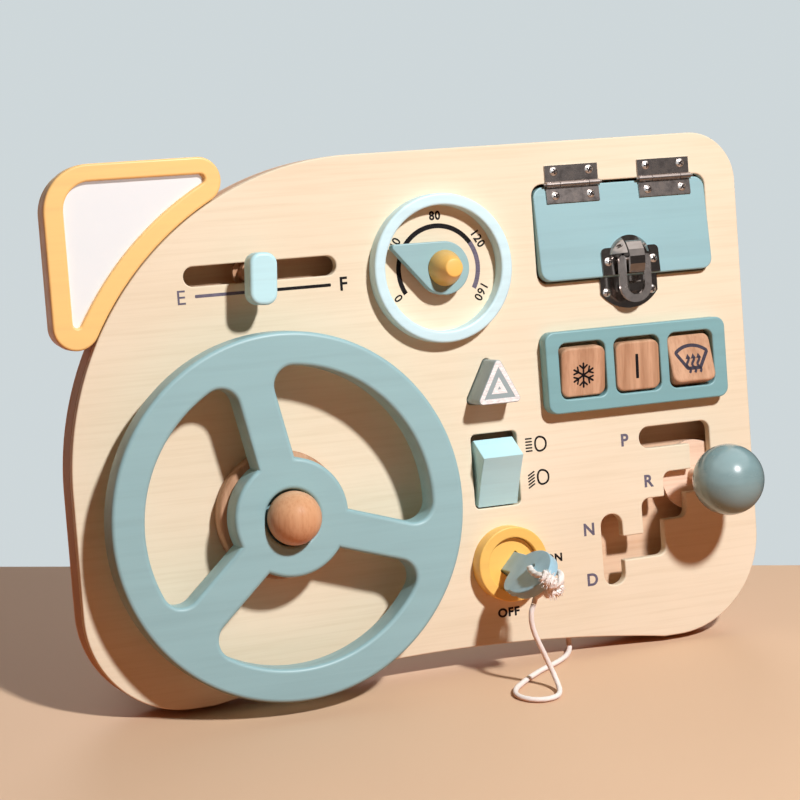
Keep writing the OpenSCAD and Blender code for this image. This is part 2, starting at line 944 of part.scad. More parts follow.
// Leaf sheet under one knuckle: it runs up to the knuckle's bottom and stops short of the pin's bore
module leaf_tab(i, side) {
    x0 = knuckles[i] + (i > 0 ? hinge_cut / 2 : 0);
    x1 = knuckles[i + 1] - (i < 2 ? hinge_cut / 2 : 0);
    depth = knuckle_r - hinge_pin_r - 0.15;
    translate([x0, side > 0 ? 0 : -leaf_from - 0.5, -knuckle_r])
        cube([x1 - x0, leaf_from + 0.5, min(leaf_t, depth)]);
}

module hinge_leaves_board() {
    color(gunmetal)
        on_face()
            for (m = hinge_mids)
                translate([hinge_at[0] + m - hinge_w / 2, hinge_at[1], hinge_z])
                    difference() {
                        union() {
                            translate([0, leaf_from, -knuckle_r])
                                cube([hinge_w, leaf_board - leaf_from, leaf_t]);
                            for (i = [0, 2]) {
                                knuckle(i, hinge_pin_r);
                                leaf_tab(i, 1);
                            }
                        }
                        for (s = [-1, 1])
                            translate([hinge_w / 2 + s * hinge_w / 3, 6.4, -knuckle_r])
                                screw_hole();
                    }
}

module hinge_leaves_door() {
    color(gunmetal)
        on_face()
            on_door()
                for (m = hinge_mids)
                    translate([hinge_at[0] + m - hinge_w / 2, hinge_at[1], hinge_z])
                        difference() {
                            union() {
                                translate([0, -leaf_door, -knuckle_r])
                                    cube([hinge_w, leaf_door - leaf_from, leaf_t]);
                                knuckle(1, hinge_pin_r + fit);
                                leaf_tab(1, -1);
                            }
                            for (s = [-1, 1])
                                translate([hinge_w / 2 + s * hinge_w / 3, -5.3, -knuckle_r])
                                    screw_hole();
                        }
}

module hinge_pins() {
    color(steel)
        on_face()
            for (m = hinge_mids)
                translate([hinge_at[0] + m - hinge_w / 2 - 1.4, hinge_at[1], hinge_z])
                    rotate([0, 90, 0])
                        cylinder(r = hinge_pin_r, h = hinge_w + 2.8, $fn = 32);
}

module screws_board() {
    color(steel)
        on_face()
            for (p = concat(board_screws, catch_screws))
                translate([p[0], p[1], leaf_t])
                    screw();
}

module screws_door() {
    color(steel)
        on_face()
            on_door()
                for (p = concat(door_screws, plate_screws))
                    translate([p[0], p[1], leaf_t])
                        screw();
}

// ---- Latch ----

// From the latch's own axes (along the door, up from its lower edge, out of it) to the closed door
module on_latch() {
    translate([latch_x, door_foot, 0])
        children();
}

// Plate with the pressed dome, slotted for the lever and open below it
module latch_plate() {
    color(gunmetal)
        on_face()
            on_door()
                on_latch()
                    difference() {
                        union() {
                            slab(0, leaf_t) {
                                round_rect(-latch_w / 2, plate_foot, latch_w, plate_h, 2.5);
                                translate([-latch_w / 2, plate_foot])
                                    square([latch_w, 5]);
                            }
                            intersection() {
                                translate([0, dome_up, leaf_t + dome_h - dome_ball_r])
                                    sphere(dome_ball_r, $fn = 96);
                                slab(0, 20)
                                    intersection() {
                                        translate([0, dome_up])
                                            circle(dome_r);
                                        translate([-dome_r, plate_foot])
                                            square([2 * dome_r, dome_up + dome_r]);
                                    }
                            }
                        }
                        translate([-lever_w / 2 - slide_gap, -10, leaf_t])
                            cube([lever_w + 2 * slide_gap, 60, 20]);
                        translate([-20, -10, leaf_t])
                            cube([40, lever_pin[0] - 3.6 + 10, 20]);
                        translate([-dome_r, lever_pin[0], lever_pin[1]])
                            rotate([0, 90, 0])
                                cylinder(r = lever_pin_r + fit, h = 2 * dome_r, $fn = 32);
                        for (s = [-1, 1])
                            translate([s * (latch_w / 2 - 3.4), plate_screw_up, 0])
                                screw_hole();
                    }
}

// Lever with its knuckle pin, a raised back and a duckbill lip
module latch_lever() {
    color(gunmetal)
        on_face()
            on_door()
                on_latch() {
                    difference() {
                        translate([-lever_w / 2, 0, 0])
                            rotate([90, 0, 90])
                                linear_extrude(lever_w)
                                    lever_side_2d();
                        for (s = [-1, 1])
                            translate([s * (lever_w / 2 - 0.5), bail_pin[0], bail_pin[1]])
                                rotate([0, 90, 0])
                                    cylinder(r = bail_pin_r + fit, h = 3, center = true, $fn = 32);
                    }
                    translate([-lever_w / 2 - 2.4, lever_pin[0], lever_pin[1]])
                        rotate([0, 90, 0])
                            cylinder(r = lever_pin_r, h = lever_w + 4.8, $fn = 32);
                }
}

module lever_side_2d() {
    translate(lever_pin) {
        circle(2.4, $fn = 48);
        polygon([
            [0.6, 2.3], [-2.2, 4], [-5.6, 4.6], [-9.4, 4.1], [-12.6, 2.6], [-13.4, 1.6], [-12.9, 1.2], [-9.6, 2.2],
            [-8.4, -1], [-5, -1.4], [-0.6, -2.3]
        ]);
    }
}

// Loop that hangs on two stubs in the lever and lies around the catch's hook
module latch_bail() {
    stub = 1.2;
    color(gunmetal)
        on_face()
            on_door()
                on_latch()
                    translate([0, bail_pin[0], bail_pin[1]])
                        rotate([bail_lean, 0, 0]) {
                            slab(-bail_t / 2, bail_t / 2)
                                bail_2d();
                            for (s = [-1, 1])
                                translate([s * (bail_w / 2 - bail_strap + 0.5 - stub), 0, 0])
                                    rotate([0, s * 90, 0])
                                        translate([0, 0, -0.3])
                                            cylinder(r = bail_pin_r, h = stub, $fn = 32);
                        }
}

module bail_2d() {
    ro = bail_w / 2;
    ri = ro - bail_strap;
    cy = -bail_len + ro;
    difference() {
        union() {
            translate([-ro, cy])
                square([2 * ro, -cy]);
            translate([0, cy])
                circle(ro);
            for (s = [-1, 1])
                translate([s * (ro - bail_strap / 2), 0])
                    circle(bail_strap / 2);
        }
        translate([-ri, cy])
            square([2 * ri, 40]);
        translate([0, cy])
            circle(ri);
    }
}

// Catch plate with the bent hook
module latch_catch() {
    arc = 19.6;
    up = catch_top;
    color(gunmetal)
        on_face()
            on_latch()
                difference() {
                    union() {
                        slab(0, leaf_t)
                            intersection() {
                                translate([-latch_w / 2, up - catch_h])
                                    square([latch_w, catch_h]);
                                translate([0, up - catch_h + 1.2 + arc])
                                    circle(arc, $fn = 96);
                            }
                        translate([-hook_w / 2, up, 0])
                            rotate([90, 0, 90])
                                linear_extrude(hook_w)
                                    polygon([
                                        [-2.5, 0.2], [-2.5, 6.6], [-3.7, 7.8], [-7.3, 7.8],
                                        [-7.3, 6.8], [-4.3, 6.8], [-3.6, 6.1], [-3.6, 0.2]
                                    ]);
                    }
                    for (s = [-1, 1])
                        translate([s * (latch_w / 2 - 3.2), catch_screw_up, 0])
                            screw_hole();
                }
}

// ---- Buttons ----

module windows_2d(grow = 0) {
    for (i = [0:2])
        round_rect(button_x[i] - win_w / 2 - grow, panel_at[1] + win_up - grow, win_w + 2 * grow, win_h + 2 * grow, 4);
}

module button_frame() {
    color(teal)
        on_face()
            difference() {
                slab(0, panel_t)
                    difference() {
                        round_rect(panel_at[0], panel_at[1], panel_w, panel_h, panel_r);
                        windows_2d();
                    }
                button_rod(0);
            }
}

module button_rod(grow) {
    translate([panel_at[0], panel_at[1] + pin_up, pin_z])
        rotate([0, 90, 0])
            cylinder(r = button_pin_r + grow, h = panel_w, $fn = 32);
}

module button_pin() {
    color(steel)
        on_face()
            translate([panel_at[0] + 0.8, panel_at[1] + pin_up, pin_z])
                rotate([0, 90, 0])
                    cylinder(r = button_pin_r, h = panel_w - 1.6, $fn = 32);
}

module button(i) {
    y = panel_at[1] + pin_up;
    color(wood)
        on_face()
            translate([button_x[i], y, pin_z])
                rotate([-button_tilts[i], 0, 0])
                    difference() {
                        translate([0, 0, -button_t / 2])
                            linear_extrude(button_t)
                                round_rect(-button_w / 2, -button_h / 2, button_w, button_h, 4);
                        rotate([0, 90, 0])
                            cylinder(r = button_pin_r + fit, h = button_w + 2, center = true, $fn = 32);
                    }
}

module button_left() {
    button(0);
}

module button_middle() {
    button(1);
}

module button_right() {
    button(2);
}

// ---- Hazard button and light switch ----

module hazard_button() {
    color(sage)
        on_face() {
            slab(-front_t - disc_t, hazard_out)
                hazard_2d();
            slab(-front_t - disc_t, -front_t)
                hazard_2d(hazard_flange);
        }
}

module rocker_pin(grow = 0) {
    len = switch_hole_w + 2 * cheek_t;
    translate([switch_at[0] - len / 2, switch_at[1], rocker_z])
        rotate([0, 90, 0])
            cylinder(r = rocker_pin_r + grow, h = len, $fn = 32);
}

module light_switch_pin() {
    color(steel)
        on_face()
            rocker_pin();
}

// Side of the rocker: hollow front face, flared flanks
module rocker_2d() {
    half = rocker_len / 2;
    sag = 0.6;
    r = (half * half + sag * sag) / (2 * sag);
    difference() {
        polygon([
            [-half, rocker_h], [half, rocker_h], [half + 2.35, -1.9], [half + 0.6, -4],
            [-half - 0.6, -4], [-half - 2.35, -1.9]
        ]);
        translate([0, rocker_h - sag + r])
            circle(r, $fn = 256);
    }
}

module light_switch() {
    color(pale_cyan)
        on_face()
            translate([switch_at[0] - rocker_w / 2 - 0.5, switch_at[1], rocker_z])
                rotate([rocker_tip, 0, 0])
                    difference() {
                        rotate([90, 0, 90])
                            linear_extrude(rocker_w)
                                rocker_2d();
                        translate([-1, 0, 0])
                            rotate([0, 90, 0])
                                cylinder(r = rocker_pin_r + fit, h = rocker_w + 2, $fn = 32);
                    }
}

// ---- Ignition ----

module ignition_ring() {
    color(yellow)
        on_face()
            translate(lock_at)
                difference() {
                    cylinder(r = lock_r, h = lock_h, $fn = 96);
                    translate([0, 0, -1])
                        cylinder(r = lock_in_r, h = lock_h + 2, $fn = 96);
                }
}

// Barrel with the key slot, a collar behind the panel and a tail that bears on the back panel
module ignition_barrel() {
    z0 = -front_t - core_t;
    color(yellow)
        on_face()
            translate(lock_at)
                difference() {
                    union() {
                        translate([0, 0, -front_t - 1])
                            cylinder(r = lock_in_r - side_gap, h = front_t + 1 + barrel_out, $fn = 96);
                        translate([0, 0, -front_t - slide_gap - collar_t])
                            cylinder(r = collar_r, h = collar_t, $fn = 96);
                        translate([0, 0, z0 + slide_gap])
                            cylinder(r = tail_r, h = core_t - slide_gap);
                    }
                    rotate(key_turn)
                        translate([-key_w / 2 - key_gap, -key_t / 2 - 0.1, barrel_out - key_in])
                            cube([key_w + 2 * key_gap, key_t + 0.2, key_in + 1]);
                }
}

// Key: straight blade and an oval bow, fuller at its lower heel, with a hole for the cord
module ignition_key() {
    color(sage)
        on_face()
            translate(lock_at)
                rotate([0, 0, key_turn])
                    rotate([90, 0, 0])
                        translate([0, 0, -key_t / 2])
                            difference() {
                                linear_extrude(key_t) {
                                    translate([-key_w / 2, barrel_out - key_in])
                                        square([key_w, bow_z - 8 - barrel_out + key_in]);
                                    translate([bow_off, bow_z])
                                        scale([bow_w, bow_h])
                                            circle(0.5, $fn = 96);
                                    translate([bow_off - heel_in, bow_z - heel_down])
                                        circle(heel_r, $fn = 72);
                                }
                                translate([key_hole[0], key_hole[1], -1])
                                    cylinder(r = key_hole_r, h = key_t + 2);
                            }
}

// ---- Gear lever ----

module gear_ball() {
    color(sage)
        on_face()
            translate([gear_x, gear_at[1], ball_up])
                difference() {
                    sphere(ball_r, $fn = 96);
                    translate([0, 0, -ball_r - 1])
                        cylinder(r = stem_r, h = 12);
                }
}

module gear_stem() {
    color(wood)
        on_face()
            translate([gear_x, gear_at[1], 0]) {
                translate([0, 0, gear_disc_z])
                    cylinder(r = stem_r, h = ball_up - ball_r + 11 - gear_disc_z);
                translate([0, 0, gear_disc_z])
                    cylinder(r = gear_disc_r, h = disc_t, $fn = 96);
            }
}

// ---- Cord ----

function unit(v) = v / norm(v);
function along(p, i) = unit(p[min(i + 1, len(p) - 1)] - p[max(i - 1, 0)]);
function square_to(n, t) = unit(n - (n * t) * t);
function sides_of(p) = [
    for (i = 0, n = square_to([1, 0.2, 0.1], along(p, 0)); i < len(p); i = i + 1, n = i < len(p) ? square_to(n, along(p, i)) : n)
        n
];

// Tube with eight sides along a route
module tube(p, r) {
    k = 8;
    n = sides_of(p);
    m = len(p);
    rings = [
        for (i = [0:m - 1])
            let (b = cross(along(p, i), n[i]))
                for (j = [0:k - 1])
                    p[i] + r * (cos(360 * j / k) * n[i] + sin(360 * j / k) * b)
    ];
    walls = [
        for (i = [0:m - 2], j = [0:k - 1])
            let (a = i * k + j, b = i * k + (j + 1) % k)
                each [[a, a + k, b], [b, a + k, b + k]]
    ];
    polyhedron(rings, concat([[for (j = [0:k - 1]) j]], walls, [[for (j = [0:k - 1]) m * k - 1 - j]]));
}

module cord() {
    color(white)
        tube(cord_route, cord_d / 2);
}

module cord_top() {
    color(white)
        tube(cord_top_route, cord_d / 2);
}

module cord_knot() {
    color(white)
        translate(knot_at)
            sphere(knot_r, $fn = 32);
}

module cord_end_knot() {
    color(white)
        translate(end_knot_at)
            sphere(end_knot_r, $fn = 32);
}

front_panel();
body_frame();
back_panel();
inner_blocks();
stand_fins();
mirror_frame();
mirror_sheet();
mirror_back();
wheel_spacer();
wheel_axle();
steering_wheel();
slider_knob();
slider_stem();
dial_ring();
dial_pointer();
dial_knob();
door_flap();
hinge_leaves_board();
hinge_leaves_door();
hinge_pins();
screws_board();
screws_door();
latch_plate();
latch_lever();
latch_bail();
latch_catch();
button_frame();
button_pin();
button_left();
button_middle();
button_right();
hazard_button();
light_switch();
light_switch_pin();
ignition_ring();
ignition_barrel();
ignition_key();
gear_ball();
gear_stem();
cord();
cord_top();
cord_knot();
cord_end_knot();
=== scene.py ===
import bpy
import json
import math
from mathutils import Matrix, Vector


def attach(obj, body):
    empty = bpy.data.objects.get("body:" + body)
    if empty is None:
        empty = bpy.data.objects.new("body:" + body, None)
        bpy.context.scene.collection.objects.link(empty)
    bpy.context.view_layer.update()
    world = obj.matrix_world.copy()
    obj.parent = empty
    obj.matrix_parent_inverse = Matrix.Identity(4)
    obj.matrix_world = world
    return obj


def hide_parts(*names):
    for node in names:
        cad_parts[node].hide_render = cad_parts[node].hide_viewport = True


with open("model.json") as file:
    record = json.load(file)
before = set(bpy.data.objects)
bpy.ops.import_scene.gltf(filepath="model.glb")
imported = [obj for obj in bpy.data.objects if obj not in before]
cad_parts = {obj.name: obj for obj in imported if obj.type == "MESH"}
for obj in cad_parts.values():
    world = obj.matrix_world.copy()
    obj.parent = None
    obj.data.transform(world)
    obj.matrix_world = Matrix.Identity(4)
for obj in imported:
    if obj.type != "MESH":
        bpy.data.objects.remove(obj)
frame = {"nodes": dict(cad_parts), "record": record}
nodes = frame["nodes"]
scene = bpy.context.scene
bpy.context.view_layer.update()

# ---- Sizes in mm. The face's own axes are u right, v up and w out, from the steering wheel's centre ----

MM = 0.001

# Board
BOARD_W, BOARD_H = 350.0, 249.0
LEFT, BOTTOM = -95.0, -85.5
RIGHT, TOP = LEFT + BOARD_W, BOTTOM + BOARD_H
FRONT_T, CORE_T, BACK_T = 5, 10, 3
BODY_T = FRONT_T + CORE_T + BACK_T
BOARD_EDGE = 0.7
ARC_R, TOP_R, FOOT_R = 145, 25, 48
ARCH_RISE, ARCH_HALF, ARCH_OFF = 9.2, 118.0, 1

# Mirror
MIRROR_T, MIRROR_EDGE = 8, 1.0
MIRROR_LEFT, MIRROR_TOP = LEFT - 2.5, TOP + 3.3
MIRROR_IN_R = ARC_R + 0.5
MIRROR_CORNER_R, MIRROR_END_R = 22, 10.8
MIRROR_RIM = 8.8
MIRROR_SIDE_RIM, MIRROR_TOP_RIM = MIRROR_RIM + 0.5, MIRROR_RIM - 0.9
GLASS_END_R = 2.2

# Steering wheel
WHEEL_R, WHEEL_T, WHEEL_EDGE = 85, 14.5, 1.9
RIM_W, HUB_R, SPOKE_W, SPOKE_TURN = 15.6, 27.5, 18.3, 102.3
WINDOW_R = 9.0
SPACER_R, SPACER_T = 30, 9.3
AXLE_R, AXLE_BALL_R, AXLE_BALL_W = 5, 12.5, 26.0
WHEEL_BACK = SPACER_T + 0.2
WHEEL_FRONT = WHEEL_BACK + WHEEL_T
HUB_RECESS_R, HUB_RECESS_D = 13, 11

# Fuel slider
TRACK_U, TRACK_V, TRACK_LEN, TRACK_W = 2, 112.5, 74.5, 9.2
GRIP_W, GRIP_H, GRIP_R, GRIP_T, GRIP_W0 = 13.2, 24, 5.5, 10, 10
GRIP_U, GRIP_V, GRIP_TILT = TRACK_U - 5.3, TRACK_V - 3.1, -4
FUEL_U, FUEL_V, FUEL_HALF, FUEL_W = -30.5, 103.4, 33.2, 1.5
MARK_H, EMPTY_AT, FULL_AT = 6.5, (-37, 103.4, 0), (42.3, 103.5, 0)

# Speedometer
DIAL_U, DIAL_V = 90.9, 107.0
DIAL_R, DIAL_IN_R, DIAL_H = 35.4, 29.8, 7.5
POINTER_R, POINTER_TIP_R, POINTER_REACH = 12.7, 1.5, 26.9
POINTER_W0, POINTER_T, POINTER_TURN = 3, 5, 155
SCALE_R, SCALE_W, SCALE_DOWN = 20.5, 2.3, 0.4
SCALE_START, SCALE_HIGH, SCALE_END = 210.8, 33.7, -30.7
NUMERAL_R, NUMERAL_H = 25, 4.4
# Text, direction and boldness of each numeral
NUMERALS = (("0", 210.5, 0.02), ("40", 149, 0.02), ("80", 90, 0.038), ("120", 29.5, 0.03), ("160", -32, 0.02))

# Door
HINGE_U, HINGE_V, HINGE_W = 190, 142.4, 1.5
HINGE_MIDS, HINGE_SCREW = (-25.9, 24.5), 9.5
LATCH_U = HINGE_U + 1.4
# Heights of the screws on the board and on the door, and how far the latch's stand to either side
HINGE_SCREWS_V, LATCH_SCREWS_V, LATCH_SCREWS = (148.8, 137.1), (88.0, 103.0), (12.5, 12.3)
DOOR_W, DOOR_H, DOOR_R = 94, 46, 5.5
DOOR_FOOT = HINGE_V - 0.5 - DOOR_H
DOOR_GAP, DOOR_FOOT_GAP = 0.6, 0.9
DOOR_HOLE_H = 48.0
DOOR_AJAR = 5.5

# Buttons
PANEL_U, PANEL_V = 140.7, 31.7
PANEL_W, PANEL_H, PANEL_T, PANEL_R = 99.1, 39.8, 7.25, 5
WIN_W, WIN_H, WIN_R, WIN_UP, WIN_PITCH = 25.1, 27.3, 4, 6.7, 29.9
WIN_LEFT = (PANEL_W - 2 * WIN_PITCH - WIN_W) / 2 - 0.2
BUTTON_W, BUTTON_H, BUTTON_T, BUTTON_R = 23.8, 24.2, 8, 4
BUTTON_U = [PANEL_U + WIN_LEFT + WIN_W / 2 + i * WIN_PITCH for i in range(3)]
BUTTON_V = PANEL_V + 19.9
BUTTON_PIN_W = 3.6
BUTTON_TILT = (-7, -3, 16)

# Hazard button: the middles of its three rounded corners
HAZARD_CORNERS = ((103, 42.7), (120.5, 42.7), (112.15, 59.5))
HAZARD_R, HAZARD_OUT, HAZARD_IN, HAZARD_GAP = 2.0, 14.0, 2, 0.3

# Light switch
SWITCH_U, SWITCH_V = 113.3, 7.8
SWITCH_HOLE_W, SWITCH_HOLE_H, SWITCH_HOLE_R = 24.2, 36, 2.5
ROCKER_W, ROCKER_LEN, ROCKER_H, ROCKER_SAG, ROCKER_TIP = 20.9, 26.9, 12.0, 0.6, 24.5

# Ignition: the key's bow and heel are ovals (across, out, half width, half height)
LOCK_U, LOCK_V = 115.6, -37.8
LOCK_R, LOCK_IN_R, LOCK_H = 18.2, 13, 8
OFF_AT, OFF_H, ON_AT, ON_H = (114.6, -61.9, 0), 4.5, (140.6, -38.6, 0), 4.2
KEY_TURN = math.radians(46.5)
KEY_T, KEY_EDGE = 5, 0.55
BLADE_HALF, BLADE_IN, BLADE_OUT = 5.5, -4.0, 23.9
BOW = (-2.7, 31.9, 12.4, 18.0)
HEEL = (-6.3, 23.4, 8.8, 8.8)
KEY_MIDDLE = (-2.7, 20.0)
KEY_HOLE = (-0.6, 31.9)
KEY_HOLE_R = 2.2

# Gear knob
GEAR_U, GEAR_V = 223.3, -7
STEM_R, STEM_OUT = 3, 10
BALL_R, BALL_UP = 17.5, 30.1
GEAR_LETTERS = (("P", 183.7, 14.8), ("R", 195.6, -6.8), ("N", 160.8, -27), ("D", 160.9, -51.9))
GEAR_LETTER_H = 6.2

# Prints
INK_T, INK_EDGE = 0.07, 0.004

# ---- Places ----

LEAN = math.radians(11)
SIN, COS = math.sin(LEAN), math.cos(LEAN)
ORIGIN_U, ORIGIN_Y = (LEFT + RIGHT) / 2, 31
FACE = Matrix((
    (MM, 0, 0, -MM * ORIGIN_U),
    (0, MM * SIN, -MM * COS, MM * (-BOTTOM * SIN - ORIGIN_Y)),
    (0, MM * COS, MM * SIN, MM * (-BOTTOM * COS + BODY_T * SIN)),
    (0, 0, 0, 1),
))
STILL = Matrix.Identity(4)


def turned(u, v, w, degrees, axis="Z"):
    return Matrix.Translation((u, v, w)) @ Matrix.Rotation(math.radians(degrees), 4, axis)


def heading(x, y):
    """Direction of (x, y) in degrees."""
    return math.degrees(math.atan2(y, x))


DOOR = turned(0, HINGE_V, HINGE_W, -DOOR_AJAR, "X") @ Matrix.Translation((0, -HINGE_V, -HINGE_W))

# ---- Camera ----

SENSOR_W, LENS = 36, 105.72
CAMERA_AT = (-0.42565, -1.00101, 0.41446)

cam = bpy.data.objects.new("camera", bpy.data.cameras.new("camera"))
scene.collection.objects.link(cam)
cam.data.sensor_width = SENSOR_W
cam.data.lens = LENS
forward = Vector((0.370, 0.894, -0.253)).normalized()
right = Vector((0.924, -0.383, -0.002))
right = (right - forward * right.dot(forward)).normalized()
up = right.cross(forward).normalized()
cam.matrix_world = Matrix((
    (right.x, up.x, -forward.x, CAMERA_AT[0]),
    (right.y, up.y, -forward.y, CAMERA_AT[1]),
    (right.z, up.z, -forward.z, CAMERA_AT[2]),
    (0, 0, 0, 1),
))
scene.camera = cam

# ---- Materials ----

PLAIN = (1, 1, 1)


class Nodes:
    """A node tree, with short calls for the nodes used here."""

    def __init__(self, tree):
        self.tree = tree

    def add(self, kind, **values):
        """A new node; a value whose name is no setting of the node goes to the input of that name."""
        node = self.tree.nodes.new(kind)
        for key, value in values.items():
            if hasattr(node, key):
                setattr(node, key, value)
            else:
                node.inputs[key.replace("_", " ")].default_value = value
        return node

    def link(self, a, b):
        self.tree.links.new(a, b)

    def noise(self, stretch, detail, rough, distortion=0.0, lean=True):
        """Noise in object coordinates, turned into the face's axes and scaled by stretch."""
        coords = self.add("ShaderNodeTexCoord")
        turn = self.add("ShaderNodeMapping", Rotation=(LEAN - math.pi / 2 if lean else 0, 0, 0))
        self.link(coords.outputs["Object"], turn.inputs["Vector"])
        spread = stretch if isinstance(stretch, tuple) else (stretch, stretch, stretch)
        place = self.add("ShaderNodeMapping", Scale=spread)
        self.link(turn.outputs["Vector"], place.inputs["Vector"])
        node = self.add("ShaderNodeTexNoise", Scale=1.0, Detail=detail, Roughness=rough,
                        Distortion=distortion)
        self.link(place.outputs["Vector"], node.inputs["Vector"])
        return node.outputs["Fac"]

    def ramp(self, fac, stops):
        node = self.add("ShaderNodeValToRGB")
        for i, (position, colour) in enumerate(stops):
            stop = node.color_ramp.elements[i] if i < 2 else node.color_ramp.elements.new(position)
            stop.position = position
            stop.color = (*colour, 1)
        self.link(fac, node.inputs["Fac"])
        return node.outputs["Color"]

    def mix(self, fac, a, b, blend="MIX"):
        node = self.add("ShaderNodeMix")
        node.data_type = "RGBA"
        node.blend_type = blend
        for value, socket in ((fac, node.inputs[0]), (a, node.inputs[6]), (b, node.inputs[7])):
            if isinstance(value, (int, float)):
                socket.default_value = value
            elif isinstance(value, tuple):
                socket.default_value = (*value, 1)
            else:
                self.link(value, socket)
        return node.outputs[2]

    def span(self, fac, low, high, to_low, to_high):
        node = self.add("ShaderNodeMapRange", From_Min=low, From_Max=high, To_Min=to_low, To_Max=to_high)
        self.link(fac, node.inputs["Value"])
        return node.outputs["Result"]


class Look(Nodes):
    """A material with its node tree and shader."""

    def __init__(self, name):
        self.material = bpy.data.materials.new(name)
        self.material.use_nodes = True
        super().__init__(self.material.node_tree)
        self.shader = self.tree.nodes["Principled BSDF"]

    def set(self, **values):
        for key, value in values.items():
            self.shader.inputs[key.replace("_", " ")].default_value = value

    def colour(self, value):
        self.link(value, self.shader.inputs["Base Color"])

    def rough(self, value):
        self.link(value, self.shader.inputs["Roughness"])

    def bump(self, heights):
        """Chain of bumps from (height, strength, distance)."""
        last = None
        for height, strength, distance in heights:
            node = self.add("ShaderNodeBump", Strength=strength, Distance=distance)
            self.link(height, node.inputs["Height"])
            if last:
                self.link(last, node.inputs["Normal"])
            last = node.outputs["Normal"]
        self.link(last, self.shader.inputs["Normal"])


def scaled(colour, k):
    return tuple(min(1.0, c * k) for c in colour)


def halfway(colour, other):
    return tuple((a + b) / 2 for a, b in zip(colour, other))


def wood(name, base, dark, figure=0.5, streak=0.35, bump=0.12, rough=0.5,
         stretch=(2.2, 40, 40), fine=(14, 420, 420)):
    """Bare wood: slow figure along the grain, fine pores and a little bump."""
    look = Look(name)
    slow = look.noise(stretch, 3, 0.5, 0.35)
    fibres = look.noise(fine, 4, 0.65)
    cloud = look.noise(9, 2, 0.5)
    body = look.ramp(slow, [(0.32, dark), (0.5, halfway(base, dark)), (0.62, base)])
    body = look.mix(figure, base, body)
    streaks = look.ramp(fibres, [(0.3, scaled(base, 0.86)), (0.55, PLAIN)])
    body = look.mix(streak, body, streaks, "MULTIPLY")
    tint = look.ramp(cloud, [(0.35, (0.95, 0.93, 0.9)), (0.7, PLAIN)])
    look.colour(look.mix(0.8, body, tint, "MULTIPLY"))
    look.rough(look.span(fibres, 0.3, 0.7, rough + 0.08, rough - 0.06))
    look.set(Specular_IOR_Level=0.12)
    look.bump([(slow, bump * 0.5, 0.0004), (fibres, bump, 0.0002)])
    return look.material


def sawn(name, base):
    """Sawn edge of the body: one even tone, broken by fibres."""
    look = Look(name)
    fibres = look.noise((60, 60, 900), 4, 0.65)
    streaks = look.ramp(fibres, [(0.3, (0.82, 0.78, 0.74)), (0.6, PLAIN)])
    look.colour(look.mix(0.5, base, streaks, "MULTIPLY"))
    look.set(Roughness=0.6, Specular_IOR_Level=0.3)
    look.bump([(fibres, 0.2, 0.0002)])
    return look.material


def painted(name, base, rough=0.42, grain=0.28, coat=0.0):
    """Paint on wood: the grain shows faintly through, with a light orange peel and slightly paler edges."""
    look = Look(name)
    grainy = look.noise((9, 160, 160), 4, 0.6, 0.2)
    speckle = look.noise(900, 2, 0.5)
    cloud = look.noise(14, 2, 0.5)
    body = look.ramp(grainy, [(0.3, scaled(base, 0.93)), (0.5, base), (0.72, scaled(base, 1.045))])
    tint = look.ramp(cloud, [(0.3, (0.95, 0.955, 0.96)), (0.7, PLAIN)])
    body = look.mix(1.0, body, tint, "MULTIPLY")
    point = look.add("ShaderNodeNewGeometry").outputs["Pointiness"]
    edge = look.span(point, 0.53, 0.62, 0.0, 0.55)
    look.colour(look.mix(edge, body, scaled(base, 1.12)))
    look.rough(look.span(grainy, 0.3, 0.7, rough + 0.07, rough - 0.05))
    look.set(Specular_IOR_Level=0.45)
    if coat:
        look.set(Coat_Weight=coat, Coat_Roughness=0.12)
    look.bump([(grainy, grain, 0.00025), (speckle, 0.06, 0.0001)])
    return look.material


def metal(name, base, rough, stain, dull):
    """Plated steel with fine brushing and small stains, which are rougher by the dull value."""
    look = Look(name)
    lines = look.noise((30, 900, 30), 3, 0.6)
    spots = look.noise(260, 4, 0.65)
    look.colour(look.mix(look.span(spots, 0.45, 0.68, 0.0, 0.7), base, stain))
    look.rough(look.span(spots, 0.3, 0.7, rough - 0.04, rough + dull))
    look.set(Metallic=1.0)
    look.bump([(lines, 0.1, 0.00005), (spots, 0.04, 0.00006)])
    return look.material


def ink(name, base):
    """Screen-printed ink, thinly broken by the grain under it."""
    look = Look(name)
    spots = look.noise((500, 1400, 1400), 3, 0.6)
    pale = tuple(min(1, c * 1.25 + 0.004) for c in base)
    look.colour(look.ramp(spots, [(0.3, scaled(base, 0.75)), (0.7, pale)]))
    look.set(Roughness=0.55, Specular_IOR_Level=0.06)
    look.bump([(spots, 0.1, 0.00005)])
    return look.material


def cotton(name):
    """White cotton yarn with a soft fuzz and slow grey patches."""
    look = Look(name)
    fuzz = look.noise(2600, 3, 0.6, lean=False)
    slow = look.noise(160, 2, 0.5, lean=False)
    yarn = look.ramp(fuzz, [(0.3, (0.70, 0.66, 0.60)), (0.65, (0.93, 0.91, 0.87))])
    patches = look.ramp(slow, [(0.3, (0.84, 0.81, 0.76)), (0.7, (0.95, 0.94, 0.92))])
    look.colour(look.mix(0.5, yarn, patches))
    look.set(Roughness=0.85, Sheen_Weight=0.3, Specular_IOR_Level=0.2)
    look.bump([(fuzz, 0.5, 0.00025)])
    return look.material


def mirror_film(name):
    """Plastic mirror film: partly metallic, with a faint haze."""
    look = Look(name)
    haze = look.noise(60, 3, 0.6)
    look.colour(look.ramp(haze, [(0.3, (0.95, 0.975, 0.99)), (0.7, (0.97, 0.99, 1.0))]))
    look.rough(look.span(haze, 0.3, 0.7, 0.03, 0.07))
    look.set(Metallic=0.4)
    look.bump([(haze, 0.05, 0.0004)])
    return look.material


